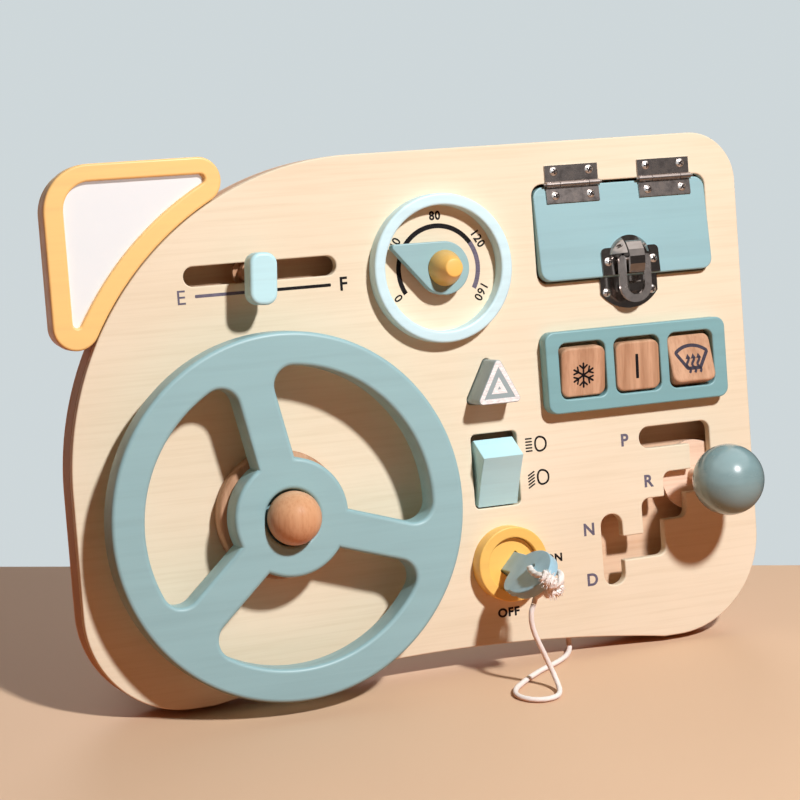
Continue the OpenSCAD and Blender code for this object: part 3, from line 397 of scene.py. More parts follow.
BIRCH = wood("birch_face", (0.80, 0.725, 0.565), (0.72, 0.63, 0.465), figure=0.26, streak=0.2)
# The inner blocks wear a redder copy of the back's birch: painted warm bounce light in the shaded cavities
# behind the slots
INSIDE_BOUNCE_BIRCH = wood("birch_inside_painted_bounce", (0.78, 0.47, 0.29), (0.66, 0.37, 0.21))
PLY = sawn("birch_edge", (0.58, 0.37, 0.23))
BACK = wood("birch_back", (0.82, 0.60, 0.43), (0.72, 0.49, 0.33))
BEECH = wood("beech", (0.60, 0.38, 0.245), (0.37, 0.205, 0.115), figure=0.8, bump=0.2,
             stretch=(130, 5, 130), fine=(900, 30, 900))
BALL = wood("beech_ball", (0.75, 0.46, 0.27), (0.58, 0.31, 0.16), figure=0.7, rough=0.38,
            stretch=(60, 5, 60), fine=(800, 40, 800))
PALE = wood("maple_disc", (0.85, 0.66, 0.52), (0.75, 0.52, 0.38), stretch=(3, 60, 60))
SAGE = painted("sage_paint", (0.285, 0.485, 0.52))
TEAL = painted("teal_paint", (0.265, 0.465, 0.51))
FRAME = painted("frame_paint", (0.20, 0.40, 0.43))
CYAN = painted("cyan_paint", (0.48, 0.79, 0.86))
ICE = painted("ice_paint", (0.60, 0.85, 0.92))
YELLOW = painted("yellow_paint", (0.88, 0.54, 0.135))
RIM = painted("rim_yellow", (0.91, 0.59, 0.215))
GREY = painted("grey_paint", (0.32, 0.41, 0.43))
KEY = painted("key_paint", (0.33, 0.56, 0.68))
GLOSS = painted("sage_gloss", (0.215, 0.345, 0.365), rough=0.22, grain=0.08, coat=0.6)
DARK = metal("dark_nickel", (0.36, 0.32, 0.30), rough=0.17, stain=(0.29, 0.25, 0.23), dull=0.02)
LEAF = metal("stained_nickel", (0.40, 0.345, 0.325), rough=0.25, stain=(0.25, 0.20, 0.17), dull=0.06)
STEEL = metal("zinc_steel", (0.88, 0.80, 0.77), rough=0.24, stain=(0.74, 0.66, 0.62), dull=0.04)
COTTON = cotton("white_cotton")
BLACK = ink("black_ink", (0.010, 0.009, 0.010))
PURPLE = ink("grey_purple_ink", (0.135, 0.125, 0.175))
DEEP = ink("deep_purple_ink", (0.050, 0.045, 0.065))
# Near black laid on the screw heads: painted shade in their recessed crosses
CROSS_SHADE = ink("recess_shade", (0.025, 0.018, 0.016))
WHITE = ink("white_ink", (0.86, 0.87, 0.88))
MIRROR = mirror_film("mirror_film")

# Each look with the CAD nodes that wear it
LOOKS = (
    (BIRCH, "front_panel"), (PLY, "body_frame"), (BACK, "back_panel stand_fins"), (INSIDE_BOUNCE_BIRCH, "inner_blocks"),
    (RIM, "mirror_frame"), (MIRROR, "mirror_sheet"),
    (YELLOW, "mirror_back dial_knob ignition_ring ignition_barrel"),
    (BEECH, "wheel_spacer slider_stem button_left button_middle button_right"),
    (BALL, "wheel_axle"), (PALE, "gear_stem"), (GLOSS, "gear_ball"),
    (SAGE, "steering_wheel dial_pointer"), (TEAL, "door_flap"), (FRAME, "button_frame"),
    (GREY, "hazard_button"), (CYAN, "slider_knob light_switch"), (ICE, "dial_ring"), (KEY, "ignition_key"),
    (LEAF, "hinge_leaves_board hinge_leaves_door"), (DARK, "hinge_pins latch_plate latch_lever latch_catch"),
    (STEEL, "screws_board screws_door latch_bail button_pin light_switch_pin"),
    (COTTON, "cord cord_top cord_knot cord_end_knot"),
)
for look, names in LOOKS:
    for name in names.split():
        nodes[name].data.materials.clear()
        nodes[name].data.materials.append(look)

# ---- Mesh makers: each piece rides the body of a CAD node ----

BODIES = frame["record"]["behaviour"]["bodies"]
BODY_OF = {node: body for body, group in BODIES.items() for node in group}


def finish_mesh(name, mesh, look, node, replaces=(), smooth=40):
    """A mesh as a piece; an angle of 0 leaves it smooth all over."""
    mesh.materials.clear()
    mesh.materials.append(look)
    piece = bpy.data.objects.new(name, mesh)
    scene.collection.objects.link(piece)
    mesh.shade_smooth()
    if smooth:
        mesh.set_sharp_from_angle(angle=math.radians(smooth))
    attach(piece, BODY_OF[node])
    if replaces:
        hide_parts(*replaces)
    return piece


def raw_mesh(name, verts, faces, place=STILL):
    mesh = bpy.data.meshes.new(name)
    mesh.from_pydata(verts, [], faces)
    mesh.transform(place)
    mesh.update()
    return mesh


def mesh_of_curve(name, curve):
    """The mesh that a curve makes; the curve is removed."""
    maker = bpy.data.objects.new(name + "_curve", curve)
    scene.collection.objects.link(maker)
    graph = bpy.context.evaluated_depsgraph_get()
    mesh = bpy.data.meshes.new_from_object(maker.evaluated_get(graph))
    bpy.data.objects.remove(maker)
    bpy.data.curves.remove(curve)
    mesh.name = name
    return mesh


def area_of(loop):
    return 0.5 * sum(p[0] * q[1] - q[0] * p[1] for p, q in zip(loop, loop[1:] + loop[:1]))


def plate_mesh(name, loops, back, front, edge, steps=3, place=STILL):
    """A plate between two heights with rounded edges, from an outer loop and any holes."""
    curve = bpy.data.curves.new(name + "_outline", "CURVE")
    curve.dimensions = "2D"
    curve.fill_mode = "BOTH"
    for i, loop in enumerate(loops):
        if (area_of(loop) > 0) == (i > 0):
            loop = loop[::-1]
        spline = curve.splines.new("POLY")
        spline.points.add(len(loop) - 1)
        for point, (x, y) in zip(spline.points, loop):
            point.co = (x, y, 0, 1)
        spline.use_cyclic_u = True
    curve.extrude = (front - back) / 2 - edge
    curve.bevel_depth = edge
    curve.bevel_resolution = steps
    curve.offset = -edge
    mesh = mesh_of_curve(name, curve)
    mesh.transform(FACE @ place @ Matrix.Translation((0, 0, (back + front) / 2)))
    mesh.update()
    return mesh


def plate(name, loops, back, front, edge, look, node, place=STILL, steps=3):
    """A plate that stands for its CAD node."""
    mesh = plate_mesh(name, loops, back, front, edge, steps, place)
    return finish_mesh(name, mesh, look, node, (node,))


def lathe(name, profile, u, v, look, node, steps=96, replaces=True):
    """A turned piece: profile of (radius, height) round the face's normal at (u, v), one vertex at a pole."""
    verts, faces, rings = [], [], []
    for k, (r, w) in enumerate(profile):
        if k and (r, w) == profile[0]:
            rings.append(rings[0])
        elif r < 1e-6:
            rings.append([len(verts)] * steps)
            verts.append((u, v, w))
        else:
            rings.append([len(verts) + i for i in range(steps)])
            verts += [(x, y, w) for x, y in ring(u, v, r, steps)]
    for low, high in zip(rings, rings[1:]):
        for i in range(steps):
            j = (i + 1) % steps
            faces.append(tuple(dict.fromkeys((low[i], low[j], high[j], high[i]))))
    mesh = raw_mesh(name, verts, faces, FACE)
    mesh.validate()
    mesh.update()
    return finish_mesh(name, mesh, look, node, (node,) if replaces else (), 50)


def arc(mid_x, mid_y, r, start, end, steps):
    """Points on an arc, angles in degrees."""
    turns = [math.radians(start + (end - start) * i / steps) for i in range(steps + 1)]
    return [(mid_x + r * math.cos(turn), mid_y + r * math.sin(turn)) for turn in turns]


def ring(mid_x, mid_y, r, steps=96):
    return arc(mid_x, mid_y, r, 0, 360, steps)[:-1]


def round_rect(x, y, w, h, r, steps=8):
    """A rectangle with round corners, from its lower left corner."""
    near, far, low, high = x + r, x + w - r, y + r, y + h - r
    out = []
    for mid_x, mid_y, start in ((far, low, -90), (far, high, 0), (near, high, 90), (near, low, 180)):
        out += arc(mid_x, mid_y, r, start, start + 90, steps)
    return out


def centred(x, y, w, h, r, steps=8):
    """A rectangle with round corners, from its middle."""
    return round_rect(x - w / 2, y - h / 2, w, h, r, steps)


def rounded(points, steps=7):
    """A polygon of (x, y, radius) with its corners rounded."""
    out = []
    for i, (x, y, r) in enumerate(points):
        if r <= 0:
            out.append((x, y))
            continue
        corner = Vector((x, y))
        back = (Vector(points[i - 1][:2]) - corner).normalized()
        ahead = (Vector(points[(i + 1) % len(points)][:2]) - corner).normalized()
        half = back.angle(ahead) / 2
        middle = corner + (back + ahead).normalized() * (r / math.sin(half))
        reach = r / math.tan(half)
        first, last = corner + back * reach - middle, corner + ahead * reach - middle
        start = math.atan2(first.y, first.x)
        turn = (math.atan2(last.y, last.x) - start + math.pi) % (2 * math.pi) - math.pi
        for k in range(steps + 1):
            angle = start + turn * k / steps
            out.append((middle.x + r * math.cos(angle), middle.y + r * math.sin(angle)))
    return out


def stroke(start, end, width, steps=6):
    """Outline of a straight stroke with round ends."""
    angle = heading(end[0] - start[0], end[1] - start[1])
    out = arc(end[0], end[1], width / 2, angle - 90, angle + 90, steps)
    return out + arc(start[0], start[1], width / 2, angle + 90, angle + 270, steps)


def ribbon(points, width, closed=False):
    """Outline loops of a bent line of even width."""
    n = len(points)
    left_side, right_side = [], []
    for i, (x, y) in enumerate(points):
        before = points[(i - 1) % n] if closed or i > 0 else (x, y)
        after = points[(i + 1) % n] if closed or i < n - 1 else (x, y)
        along = Vector((after[0] - before[0], after[1] - before[1])).normalized() * width / 2
        left_side.append((x - along.y, y + along.x))
        right_side.append((x + along.y, y - along.x))
    if closed:
        return sorted((left_side, right_side), key=lambda loop: -abs(area_of(loop)))
    return [left_side + right_side[::-1]]


def ball_profile(r, w, start, step):
    """Half section of a ball with its middle at height w, from an angle under its equator to its pole."""
    angles = [math.radians(a) for a in range(start, 91, step)]
    return [(r * math.cos(a), w + r * math.sin(a)) for a in angles]


def ring_profile(in_r, out_r, high, outer, inner):
    """Half section of a flat ring; its two top edges are lists of (inward, down) from their corners."""
    out = [(in_r, 0), (out_r, 0)]
    out += [(out_r - inward, high - down) for inward, down in outer]
    out += [(in_r + inward, high - down) for inward, down in inner]
    return out + [(in_r, 0)]


def printed(name, shapes, look, node, place=STILL):
    """Flat printed shapes as one piece: each shape is an outer loop with any holes."""
    verts, faces = [], []
    for loops in shapes:
        mesh = plate_mesh(name, loops, 0, INK_T, INK_EDGE, 0, place)
        base = len(verts)
        verts += [v.co.copy() for v in mesh.vertices]
        faces += [tuple(base + i for i in p.vertices) for p in mesh.polygons]
        bpy.data.meshes.remove(mesh)
    return finish_mesh(name, raw_mesh(name, verts, faces), look, node, (), 30)


def letters(name, text, height, look, place, width=1.0, bold=0.0, apart=1.0):
    """Sans-serif text printed on the board, centred on the place."""
    half_t = 0.05
    curve = bpy.data.curves.new(name, "FONT")
    curve.body = text
    curve.size = 1
    curve.extrude = half_t
    curve.offset = bold
    curve.space_character = apart
    curve.align_x = "LEFT"
    mesh = mesh_of_curve(name, curve)
    low = [min(v.co[i] for v in mesh.vertices) for i in range(3)]
    high = [max(v.co[i] for v in mesh.vertices) for i in range(3)]
    k = height / (high[1] - low[1])
    middle = Matrix.Translation((-(low[0] + high[0]) / 2, -(low[1] + high[1]) / 2, half_t))
    mesh.transform(Matrix.Diagonal((k * width, k, INK_T / (2 * half_t), 1)) @ middle)
    mesh.transform(FACE @ place)
    mesh.update()
    return finish_mesh(name, mesh, look, "front_panel", (), 30)


# ---- Cord: its route in mm in the part's frame, as in the CAD ----

CORD_D = 2.6
ROUTE = [
    (29.9, -63.5, 43.4), (28.5, -64.2, 39.8), (28.7, -64.2, 34.8), (30.4, -64, 29), (33.1, -63.8, 23.2),
    (35.8, -63.8, 17.6), (38.2, -64, 12.4), (40, -65, 8), (40.8, -67.6, 4.4), (40.2, -71.4, 2.2),
    (38, -75.2, 1.5), (34, -78, 1.5), (28.6, -78.6, 1.5), (23.4, -76.4, 1.5), (20, -72, 1.5),
    (19.6, -67, 1.5), (22.4, -61.4, 1.5), (27.4, -56.6, 1.5), (33, -52, 1.5), (39, -47.6, 1.5),
    (45, -43.6, 1.5), (51, -40.2, 1.5), (57, -36.6, 1.5), (62.4, -32.4, 1.5), (66.4, -28, 1.6),
    (68.8, -24.4, 2.4), (69.8, -21.9, 4), (70, -20.6, 6.2), (70, -19.7, 9.2), (70, -19, 12.8),
    (70, -18.3, 16.2),
]
TOP_ROUTE = [(35.4, -65.1, 50), (33.2, -64, 48.2), (31.2, -63, 46.2), (30, -63.4, 43.6)]


def smooth_route(points, parts):
    """Catmull-Rom points through a route in mm, as vectors in metres."""
    stops = [Vector(point) for point in points]
    stops = [stops[0] * 2 - stops[1]] + stops + [stops[-1] * 2 - stops[-2]]
    out = []
    for i in range(1, len(stops) - 2):
        a, b, c, d = stops[i - 1:i + 3]
        for k in range(parts):
            t = k / parts
            point = 2 * b + (c - a) * t
            point += (2 * a - 5 * b + 4 * c - d) * t * t
            point += (3 * b - a - 3 * c + d) * t ** 3
            out.append(0.5 * point * MM)
    out.append(stops[-2] * MM)
    return out


def rope(name, points, r, node, strands=3, twist=0.0022, sides=21, depth=0.3, replaces=()):
    """A twisted cord along points in metres: lobed section that turns with length."""
    verts, faces = [], []
    last = len(points) - 1
    normal = Vector((1, 0.2, 0.1))
    run = 0.0
    for i, point in enumerate(points):
        ahead = (points[min(i + 1, last)] - points[max(i - 1, 0)]).normalized()
        normal = (normal - ahead * normal.dot(ahead)).normalized()
        across = ahead.cross(normal)
        if i:
            run += (point - points[i - 1]).length
        for k in range(sides):
            angle = 2 * math.pi * k / sides
            lobe = r * (1 - depth + depth * abs(math.cos((angle + run / twist) * strands / 2)))
            verts.append(point + (normal * math.cos(angle) + across * math.sin(angle)) * lobe)
    for i in range(last):
        here, there = i * sides, (i + 1) * sides
        for k in range(sides):
            j = (k + 1) % sides
            faces.append((here + k, here + j, there + j, there + k))
    faces.append(tuple(range(sides))[::-1])
    faces.append(tuple(last * sides + k for k in range(sides)))
    return finish_mesh(name, raw_mesh(name, verts, faces), COTTON, node, replaces, 0)


LONG_ROPE = {"strands": 5, "twist": 0.0032, "sides": 20, "depth": 0.10}
path = smooth_route(ROUTE, 6)
cord = rope("cotton_cord", path, CORD_D / 2000, "cord", replaces=("cord",), **LONG_ROPE)
top_path = smooth_route(TOP_ROUTE, 8)
rope("cotton_cord_top", top_path, CORD_D / 2000, "cord_top", replaces=("cord_top",), **LONG_ROPE)

# ---- Board ----


def board_loop():
    """The board's outline, with the arch between its feet."""
    arch_r = (ARCH_HALF * ARCH_HALF + ARCH_RISE * ARCH_RISE) / (2 * ARCH_RISE)
    arch_u, arch_v = (LEFT + RIGHT) / 2 + ARCH_OFF, BOTTOM + ARCH_RISE - arch_r
    reach = math.sqrt(arch_r * arch_r - (BOTTOM - arch_v) ** 2)
    foot = heading(reach, BOTTOM - arch_v)
    out = arc(RIGHT - FOOT_R, BOTTOM + FOOT_R, FOOT_R, -90, 0, 24)
    out += arc(RIGHT - TOP_R, TOP - TOP_R, TOP_R, 0, 90, 16)
    out += arc(LEFT + ARC_R, TOP - ARC_R, ARC_R, 90, 180, 64)
    out += arc(LEFT + FOOT_R, BOTTOM + FOOT_R, FOOT_R, 180, 270, 24)
    out += arc(arch_u, arch_v, arch_r, 180 - foot, foot, 40)
    return out


def gate_loop():
    """The stepped gear gate: each corner is (right, up, rounding)."""
    return rounded([
        (231.3, 20, 4.5), (191.8, 20, 5.2), (191.8, 9.3, 5.2), (219.8, 9.3, 0.8), (219.8, -3.4, 0.8),
        (203.8, -3.4, 4), (203.8, -15.5, 0.8), (190.8, -15.5, 4), (190.8, -32.7, 0.8), (179.3, -32.7, 0.8),
        (179.3, -21, 5.6), (167.5, -21, 5.6), (167.5, -56.3, 5.6), (179.3, -56.3, 5.6), (179.3, -44.5, 0.8),
        (202.4, -44.5, 4), (202.4, -27, 0.8), (215.5, -27, 4), (215.5, -14.8, 0.8), (231.3, -14.8, 3.5),
    ])


def hazard_loop(grow=0.0):
    """The hazard button's triangle with its rounded corners, grown by a margin."""
    corners = [Vector(corner) for corner in HAZARD_CORNERS]
    out = []
    for i, corner in enumerate(corners):
        here = (corner - corners[i - 1]).normalized()
        there = (corners[(i + 1) % 3] - corner).normalized()
        start = heading(here.y, -here.x)
        turn = (heading(there.y, -there.x) - start) % 360
        out += arc(corner.x, corner.y, HAZARD_R + grow, start, start + turn, 8)
    return out


door_hole_w = DOOR_W + 2 * DOOR_GAP
holes = [
    centred(TRACK_U, TRACK_V, TRACK_LEN, TRACK_W, TRACK_W / 2 - 0.05, 10),
    round_rect(HINGE_U - door_hole_w / 2, DOOR_FOOT - DOOR_FOOT_GAP, door_hole_w, DOOR_HOLE_H, DOOR_R),
    centred(SWITCH_U, SWITCH_V, SWITCH_HOLE_W, SWITCH_HOLE_H, SWITCH_HOLE_R),
    gate_loop(),
    hazard_loop(HAZARD_GAP),
    ring(LOCK_U, LOCK_V, LOCK_IN_R, 64),
]
plate("face_board", [board_loop()] + holes, -FRONT_T, 0, BOARD_EDGE, BIRCH, "front_panel")
plate("rear_board", [board_loop()], -BODY_T, BACK_T - BODY_T, BOARD_EDGE, BACK, "back_panel")

# ---- Mirror ----


def crescent(in_r, left, top, corner_r, end_r):
    """The mirror's outline: a corner with two straight sides, two round ends and an arc round the board."""
    mid_u, mid_v = LEFT + ARC_R, TOP - ARC_R
    reach = in_r + end_r
    right_v = top - end_r
    right_u = mid_u - math.sqrt(reach ** 2 - (right_v - mid_v) ** 2)
    low_u = left + end_r
    low_v = mid_v + math.sqrt(reach ** 2 - (mid_u - low_u) ** 2)
    start, end = heading(right_u - mid_u, right_v - mid_v), heading(low_u - mid_u, low_v - mid_v)
    out = arc(left + corner_r, top - corner_r, corner_r, 180, 90, 16)
    out += arc(right_u, right_v, end_r, 90, heading(mid_u - right_u, mid_v - right_v), 24)
    out += arc(mid_u, mid_v, in_r, start, end, 40)[1:-1]
    out += arc(low_u, low_v, end_r, heading(mid_u - low_u, mid_v - low_v), -180, 24)
    return out


frame_loop = crescent(MIRROR_IN_R, MIRROR_LEFT, MIRROR_TOP, MIRROR_CORNER_R, MIRROR_END_R)
glass_loop = crescent(MIRROR_IN_R + MIRROR_RIM, MIRROR_LEFT + MIRROR_SIDE_RIM, MIRROR_TOP - MIRROR_TOP_RIM,
                      MIRROR_CORNER_R - MIRROR_RIM, GLASS_END_R)
plate("mirror_rim", [frame_loop, glass_loop], -MIRROR_T, 0, MIRROR_EDGE, RIM, "mirror_frame")

# ---- Steering wheel ----


def wheel_windows():
    """The three openings between the spokes: round corners at the rim, plain ones at the hub."""
    rim, half = WHEEL_R - RIM_W, SPOKE_W / 2
    corner_v = half + WINDOW_R
    corner_u = math.sqrt((rim - WINDOW_R) ** 2 - corner_v * corner_v)
    at_rim = heading(corner_u, corner_v)
    at_hub = heading(math.sqrt(HUB_R * HUB_R - half * half), half)
    other = Matrix.Rotation(math.radians(120), 2) @ Vector((corner_u, -corner_v))
    loop = arc(0, 0, rim, at_rim, 120 - at_rim, 36)
    loop += arc(other.x, other.y, WINDOW_R, 120 - at_rim, 210, 12)[1:]
    loop += arc(0, 0, HUB_R, 120 - at_hub, at_hub, 24)
    loop += arc(corner_u, corner_v, WINDOW_R, 270, 360 + at_rim, 12)[:-1]
    spins = [Matrix.Rotation(math.radians(SPOKE_TURN + 120 * i), 2) for i in range(3)]
    return [[tuple(spin @ Vector(point)) for point in loop] for spin in spins]


wheel_loops = [ring(0, 0, WHEEL_R, 160)] + wheel_windows() + [ring(0, 0, HUB_RECESS_R, 64)]
plate("wheel_body", wheel_loops, WHEEL_BACK, WHEEL_FRONT, WHEEL_EDGE, SAGE, "steering_wheel", steps=5)
hub_in_r, hub_out_r = AXLE_R + 0.1, HUB_RECESS_R + 0.2
hub_top, hub_foot = WHEEL_FRONT - HUB_RECESS_D, WHEEL_BACK + 0.6
hub_floor = [(hub_in_r, hub_top), (hub_out_r, hub_top), (hub_out_r, hub_foot), (hub_in_r, hub_foot)]
lathe("wheel_hub_floor", hub_floor, 0, 0, SAGE, "steering_wheel", 64, replaces=False)
axle = [(0, BACK_T - BODY_T), (AXLE_R, BACK_T - BODY_T), (AXLE_R, 5)]
lathe("axle_ball", axle + ball_profile(AXLE_BALL_R, AXLE_BALL_W, -66, 4), 0, 0, BALL, "wheel_axle")
spacer = [
    (AXLE_R, 0), (SPACER_R - 0.6, 0), (SPACER_R, 0.6),
    (SPACER_R, SPACER_T - 0.8), (SPACER_R - 0.8, SPACER_T), (AXLE_R, SPACER_T),
]
lathe("spacer_disc", spacer, 0, 0, BEECH, "wheel_spacer")

# ---- Fuel slider ----

plate("slider_grip", [centred(0, 0, GRIP_W, GRIP_H, GRIP_R, 10)], GRIP_W0, GRIP_W0 + GRIP_T, 1.6, CYAN,
      "slider_knob", turned(GRIP_U, GRIP_V, 0, GRIP_TILT), 4)
for name, u, look in (("fuel_line", FUEL_U, PURPLE), ("fuel_line_full", FUEL_U + FUEL_HALF, BLACK)):
    printed(name, [[round_rect(u, FUEL_V - FUEL_W / 2, FUEL_HALF, FUEL_W, 0.4, 3)]], look, "front_panel")
letters("mark_empty", "E", MARK_H, PURPLE, Matrix.Translation(EMPTY_AT), bold=0.002)
letters("mark_full", "F", MARK_H, BLACK, Matrix.Translation(FULL_AT), bold=0.02)

# ---- Speedometer ----


def pointer_loop():
    """A round body that runs out to a narrow round tip."""
    a = math.degrees(math.acos((POINTER_R - POINTER_TIP_R) / POINTER_REACH))
    return arc(0, 0, POINTER_R, a, 360 - a, 48) + arc(POINTER_REACH, 0, POINTER_TIP_R, -a, a, 10)


def scale_loop(start, end, steps=40):
    """A stretch of the dial's arc."""
    v = DIAL_V - SCALE_DOWN
    out = arc(DIAL_U, v, SCALE_R + SCALE_W / 2, start, end, steps)
    return out + arc(DIAL_U, v, SCALE_R - SCALE_W / 2, end, start, steps)


dial_edge = [(0, 1.1), (0.1, 0.6), (0.5, 0.15), (1.0, 0), (1.4, 0)]
dial_section = ring_profile(DIAL_IN_R, DIAL_R, DIAL_H, dial_edge, dial_edge[::-1])
lathe("speed_ring", dial_section, DIAL_U, DIAL_V, ICE, "dial_ring", 128)
plate("speed_pointer", [pointer_loop()], POINTER_W0, POINTER_W0 + POINTER_T, 0.6, SAGE, "dial_pointer",
      turned(DIAL_U, DIAL_V, 0, POINTER_TURN))
# Retaining disc, pin, collar and cone, from the back to the tip
cone = [
    (8, -7.2), (8, -5.2), (3, -5.2), (3, 0.2), (6, 0.2), (6, 3),
    (8.4, 8.0), (8.6, 8.4), (4.5, 18.9), (4.2, 19.35), (3.7, 19.5), (0, 19.5),
]
lathe("speed_cone", cone, DIAL_U, DIAL_V, YELLOW, "dial_knob")
printed("speed_arc", [[scale_loop(SCALE_HIGH, SCALE_START)]], BLACK, "front_panel")
printed("speed_arc_high", [[scale_loop(SCALE_END, SCALE_HIGH, 16)]], PURPLE, "front_panel")
for text, angle, bold in NUMERALS:
    u = DIAL_U + NUMERAL_R * math.cos(math.radians(angle))
    v = DIAL_V + NUMERAL_R * math.sin(math.radians(angle))
    letters("speed_" + text, text, NUMERAL_H, BLACK, turned(u, v, 0, angle - 90), 0.95, bold, 1.12)

# ---- Door ----

SCREW_TOP, SCREW_DOME_R = 1.8, 3.4
CROSS_STEP, CROSS_STEPS = 0.36, 8
CROSS_TURN, CROSS_SPREAD = 23, 37
CROSS_SECTION = ((-0.3, -0.3), (0.3, -0.3), (0.3, 0.03), (-0.3, 0.03))


def cross_shade_marks(name, spots, node, place=STILL):
    """Dark crosses on the domed screw heads, each screw turned another way: painted shade that stands for the
    recessed crosses.
    """
    verts, faces = [], []
    for k, (u, v) in enumerate(spots):
        for turn in (0, 90):
            angle = math.radians(turn + CROSS_TURN + CROSS_SPREAD * k)
            along_u, along_v = math.cos(angle), math.sin(angle)
            base = len(verts)
            for i in range(CROSS_STEPS + 1):
                r = CROSS_STEP * (i - CROSS_STEPS // 2)
                mid_u, mid_v = u + along_u * r, v + along_v * r
                dome = SCREW_TOP - SCREW_DOME_R + math.sqrt(SCREW_DOME_R ** 2 - r * r)
                for aside, lift in CROSS_SECTION:
                    verts.append((mid_u - along_v * aside, mid_v + along_u * aside, dome + lift))
            for i in range(CROSS_STEPS):
                here, there = base + 4 * i, base + 4 * i + 4
                for j in range(4):
                    n = (j + 1) % 4
                    faces.append((here + j, here + n, there + n, there + j))
            end = base + 4 * CROSS_STEPS
            faces += [(base + 3, base + 2, base + 1, base), (end, end + 1, end + 2, end + 3)]
    finish_mesh(name, raw_mesh(name, verts, faces, FACE @ place), CROSS_SHADE, node)


def screw_spots(side):
    """Places of the screws on the board (0) or on the door (1)."""
    middles = [(HINGE_U + middle, HINGE_SCREW, HINGE_SCREWS_V[side]) for middle in HINGE_MIDS]
    middles.append((LATCH_U, LATCH_SCREWS[side], LATCH_SCREWS_V[side]))
    return [(u + sign * half, v) for u, half, v in middles for sign in (-1, 1)]


door_loop = round_rect(HINGE_U - DOOR_W / 2, DOOR_FOOT, DOOR_W, DOOR_H, DOOR_R)
plate("door_panel", [door_loop], -FRONT_T, 0, BOARD_EDGE, TEAL, "door_flap", DOOR)
cross_shade_marks("board_screw_crosses", screw_spots(0), "screws_board")
cross_shade_marks("door_screw_crosses", screw_spots(1), "screws_door", DOOR)

# ---- Buttons ----


def button_place(i):
    return turned(BUTTON_U[i], BUTTON_V, BUTTON_PIN_W, -BUTTON_TILT[i], "X")


def on_button(i, u, v):
    return button_place(i) @ Matrix.Translation((u, v, BUTTON_T / 2))


def snow_sign():
    """Six arms, each with a pair of side branches."""
    arm, fork, branch, spread = 5.8, 3.1, 2.6, math.radians(48)
    shapes = []
    for k in range(6):
        angle = math.radians(60 * k + 30)
        along = Vector((math.cos(angle), math.sin(angle)))
        shapes.append([stroke((0, 0), along * arm, 1.0)])
        for side in (-1, 1):
            turn = angle + side * spread
            tip = along * fork + Vector((math.cos(turn), math.sin(turn))) * branch
            shapes.append([stroke(along * fork, tip, 0.9)])
    return shapes


def demist_sign():
    """A windscreen with three waves of warm air that rise to arrow heads."""
    curved = 18
    top = arc(0, -8.0, 13.2, 132, 48, curved)
    pane = [(-8.8, 1.9)] + top[1:-1] + [(8.8, 1.9), (3.5, -6.4), (-3.5, -6.4)]
    pane = rounded([(x, y, 0.0 if 0 < k < curved else 0.9) for k, (x, y) in enumerate(pane)])
    shapes = [ribbon(pane, 1.75, True)]
    for middle in (-3.0, 0.0, 3.0):
        wave = [(middle + 0.75 * math.sin(t * 0.95), -8.7 + 0.85 * t) for t in [q * 0.5 for q in range(22)]]
        wave = [point for point in wave if point[1] < -0.9]
        shapes.append(ribbon(wave, 1.3))
        x, y = wave[-1]
        shapes.append([[(x - 1.45, y - 0.5), (x + 1.45, y - 0.5), (x, y + 2.1)]])
    return shapes


windows = [round_rect(u - WIN_W / 2, PANEL_V + WIN_UP, WIN_W, WIN_H, WIN_R) for u in BUTTON_U]
surround = [round_rect(PANEL_U, PANEL_V, PANEL_W, PANEL_H, PANEL_R)] + windows
plate("button_surround", surround, 0, PANEL_T, 0.8, FRAME, "button_frame")
button_loop = centred(0, 0, BUTTON_W, BUTTON_H, BUTTON_R)
for i, side in enumerate(("left", "middle", "right")):
    plate("key_" + side, [button_loop], -BUTTON_T / 2, BUTTON_T / 2, 1.1, BEECH, "button_" + side,
          button_place(i), 4)
printed("sign_snow", snow_sign(), BLACK, "button_left", on_button(0, -0.2, -1.6))
printed("sign_bar", [[centred(0, 0, 1.6, 12, 0.4, 4)]], BLACK, "button_middle", on_button(1, -0.7, -0.2))
printed("sign_demist", demist_sign(), DEEP, "button_right", on_button(2, 0.3, 0.9))

# ---- Hazard button ----


def triangle(k):
    """A sharp triangle like the button's, k times its size."""
    return [(111.8 + k * x, 48.0 + k * y) for x, y in ((-12.4, -7.3), (12.4, -7.3), (0.4, 15.6))]


hazard_face = Matrix.Translation((0, 0, HAZARD_OUT))
plate("hazard_block", [hazard_loop()], -FRONT_T - HAZARD_IN, HAZARD_OUT, 0.5, GREY, "hazard_button")
printed("hazard_white", [[hazard_loop(-0.35), triangle(0.66)]], WHITE, "hazard_button", hazard_face)
printed("hazard_inner", [[triangle(0.34), triangle(0.07)]], WHITE, "hazard_button", hazard_face)

# ---- Light switch ----


def rocker_loop(steps=12):
    """Side of the rocker: hollow front face, flared flanks."""
    half = ROCKER_LEN / 2
    r = (half * half + ROCKER_SAG * ROCKER_SAG) / (2 * ROCKER_SAG)
    out = []
    for k in range(steps + 1):
        x = 2 * half * k / steps - half
        out.append((x, ROCKER_H - ROCKER_SAG + r - math.sqrt(r * r - x * x)))
    return out + [(half + 2.35, -1.9), (half + 0.6, -4), (-half - 0.6, -4), (-half - 2.35, -1.9)]


def lamp_sign(name, u, v, dip):
    """A headlamp with five rays, which slope down by the dip."""
    steps, mid, front, rear, half_h, square = 40, 2.6, 3.5, 2.3, 3.45, 0.86
    rays, ray_gap, ray_from, ray_to, ray_rise = 5, 1.5, -4.6, -1.6, 0.1 if dip else 0
    glass = []
    for k in range(steps):
        x, y = math.cos(2 * math.pi * k / steps), math.sin(2 * math.pi * k / steps)
        high = half_h * math.copysign(abs(y) ** square, y)
        glass.append((u + mid + (front if x > 0 else rear) * x, v + high))
    shapes = [ribbon(glass, 0.95, True)]
    for k in range(rays):
        ray_v = v + ray_gap * (rays // 2 - k)
        shapes.append([stroke((u + ray_from, ray_v - dip), (u + ray_to, ray_v + ray_rise), 0.72)])
    printed(name, shapes, BLACK, "front_panel")


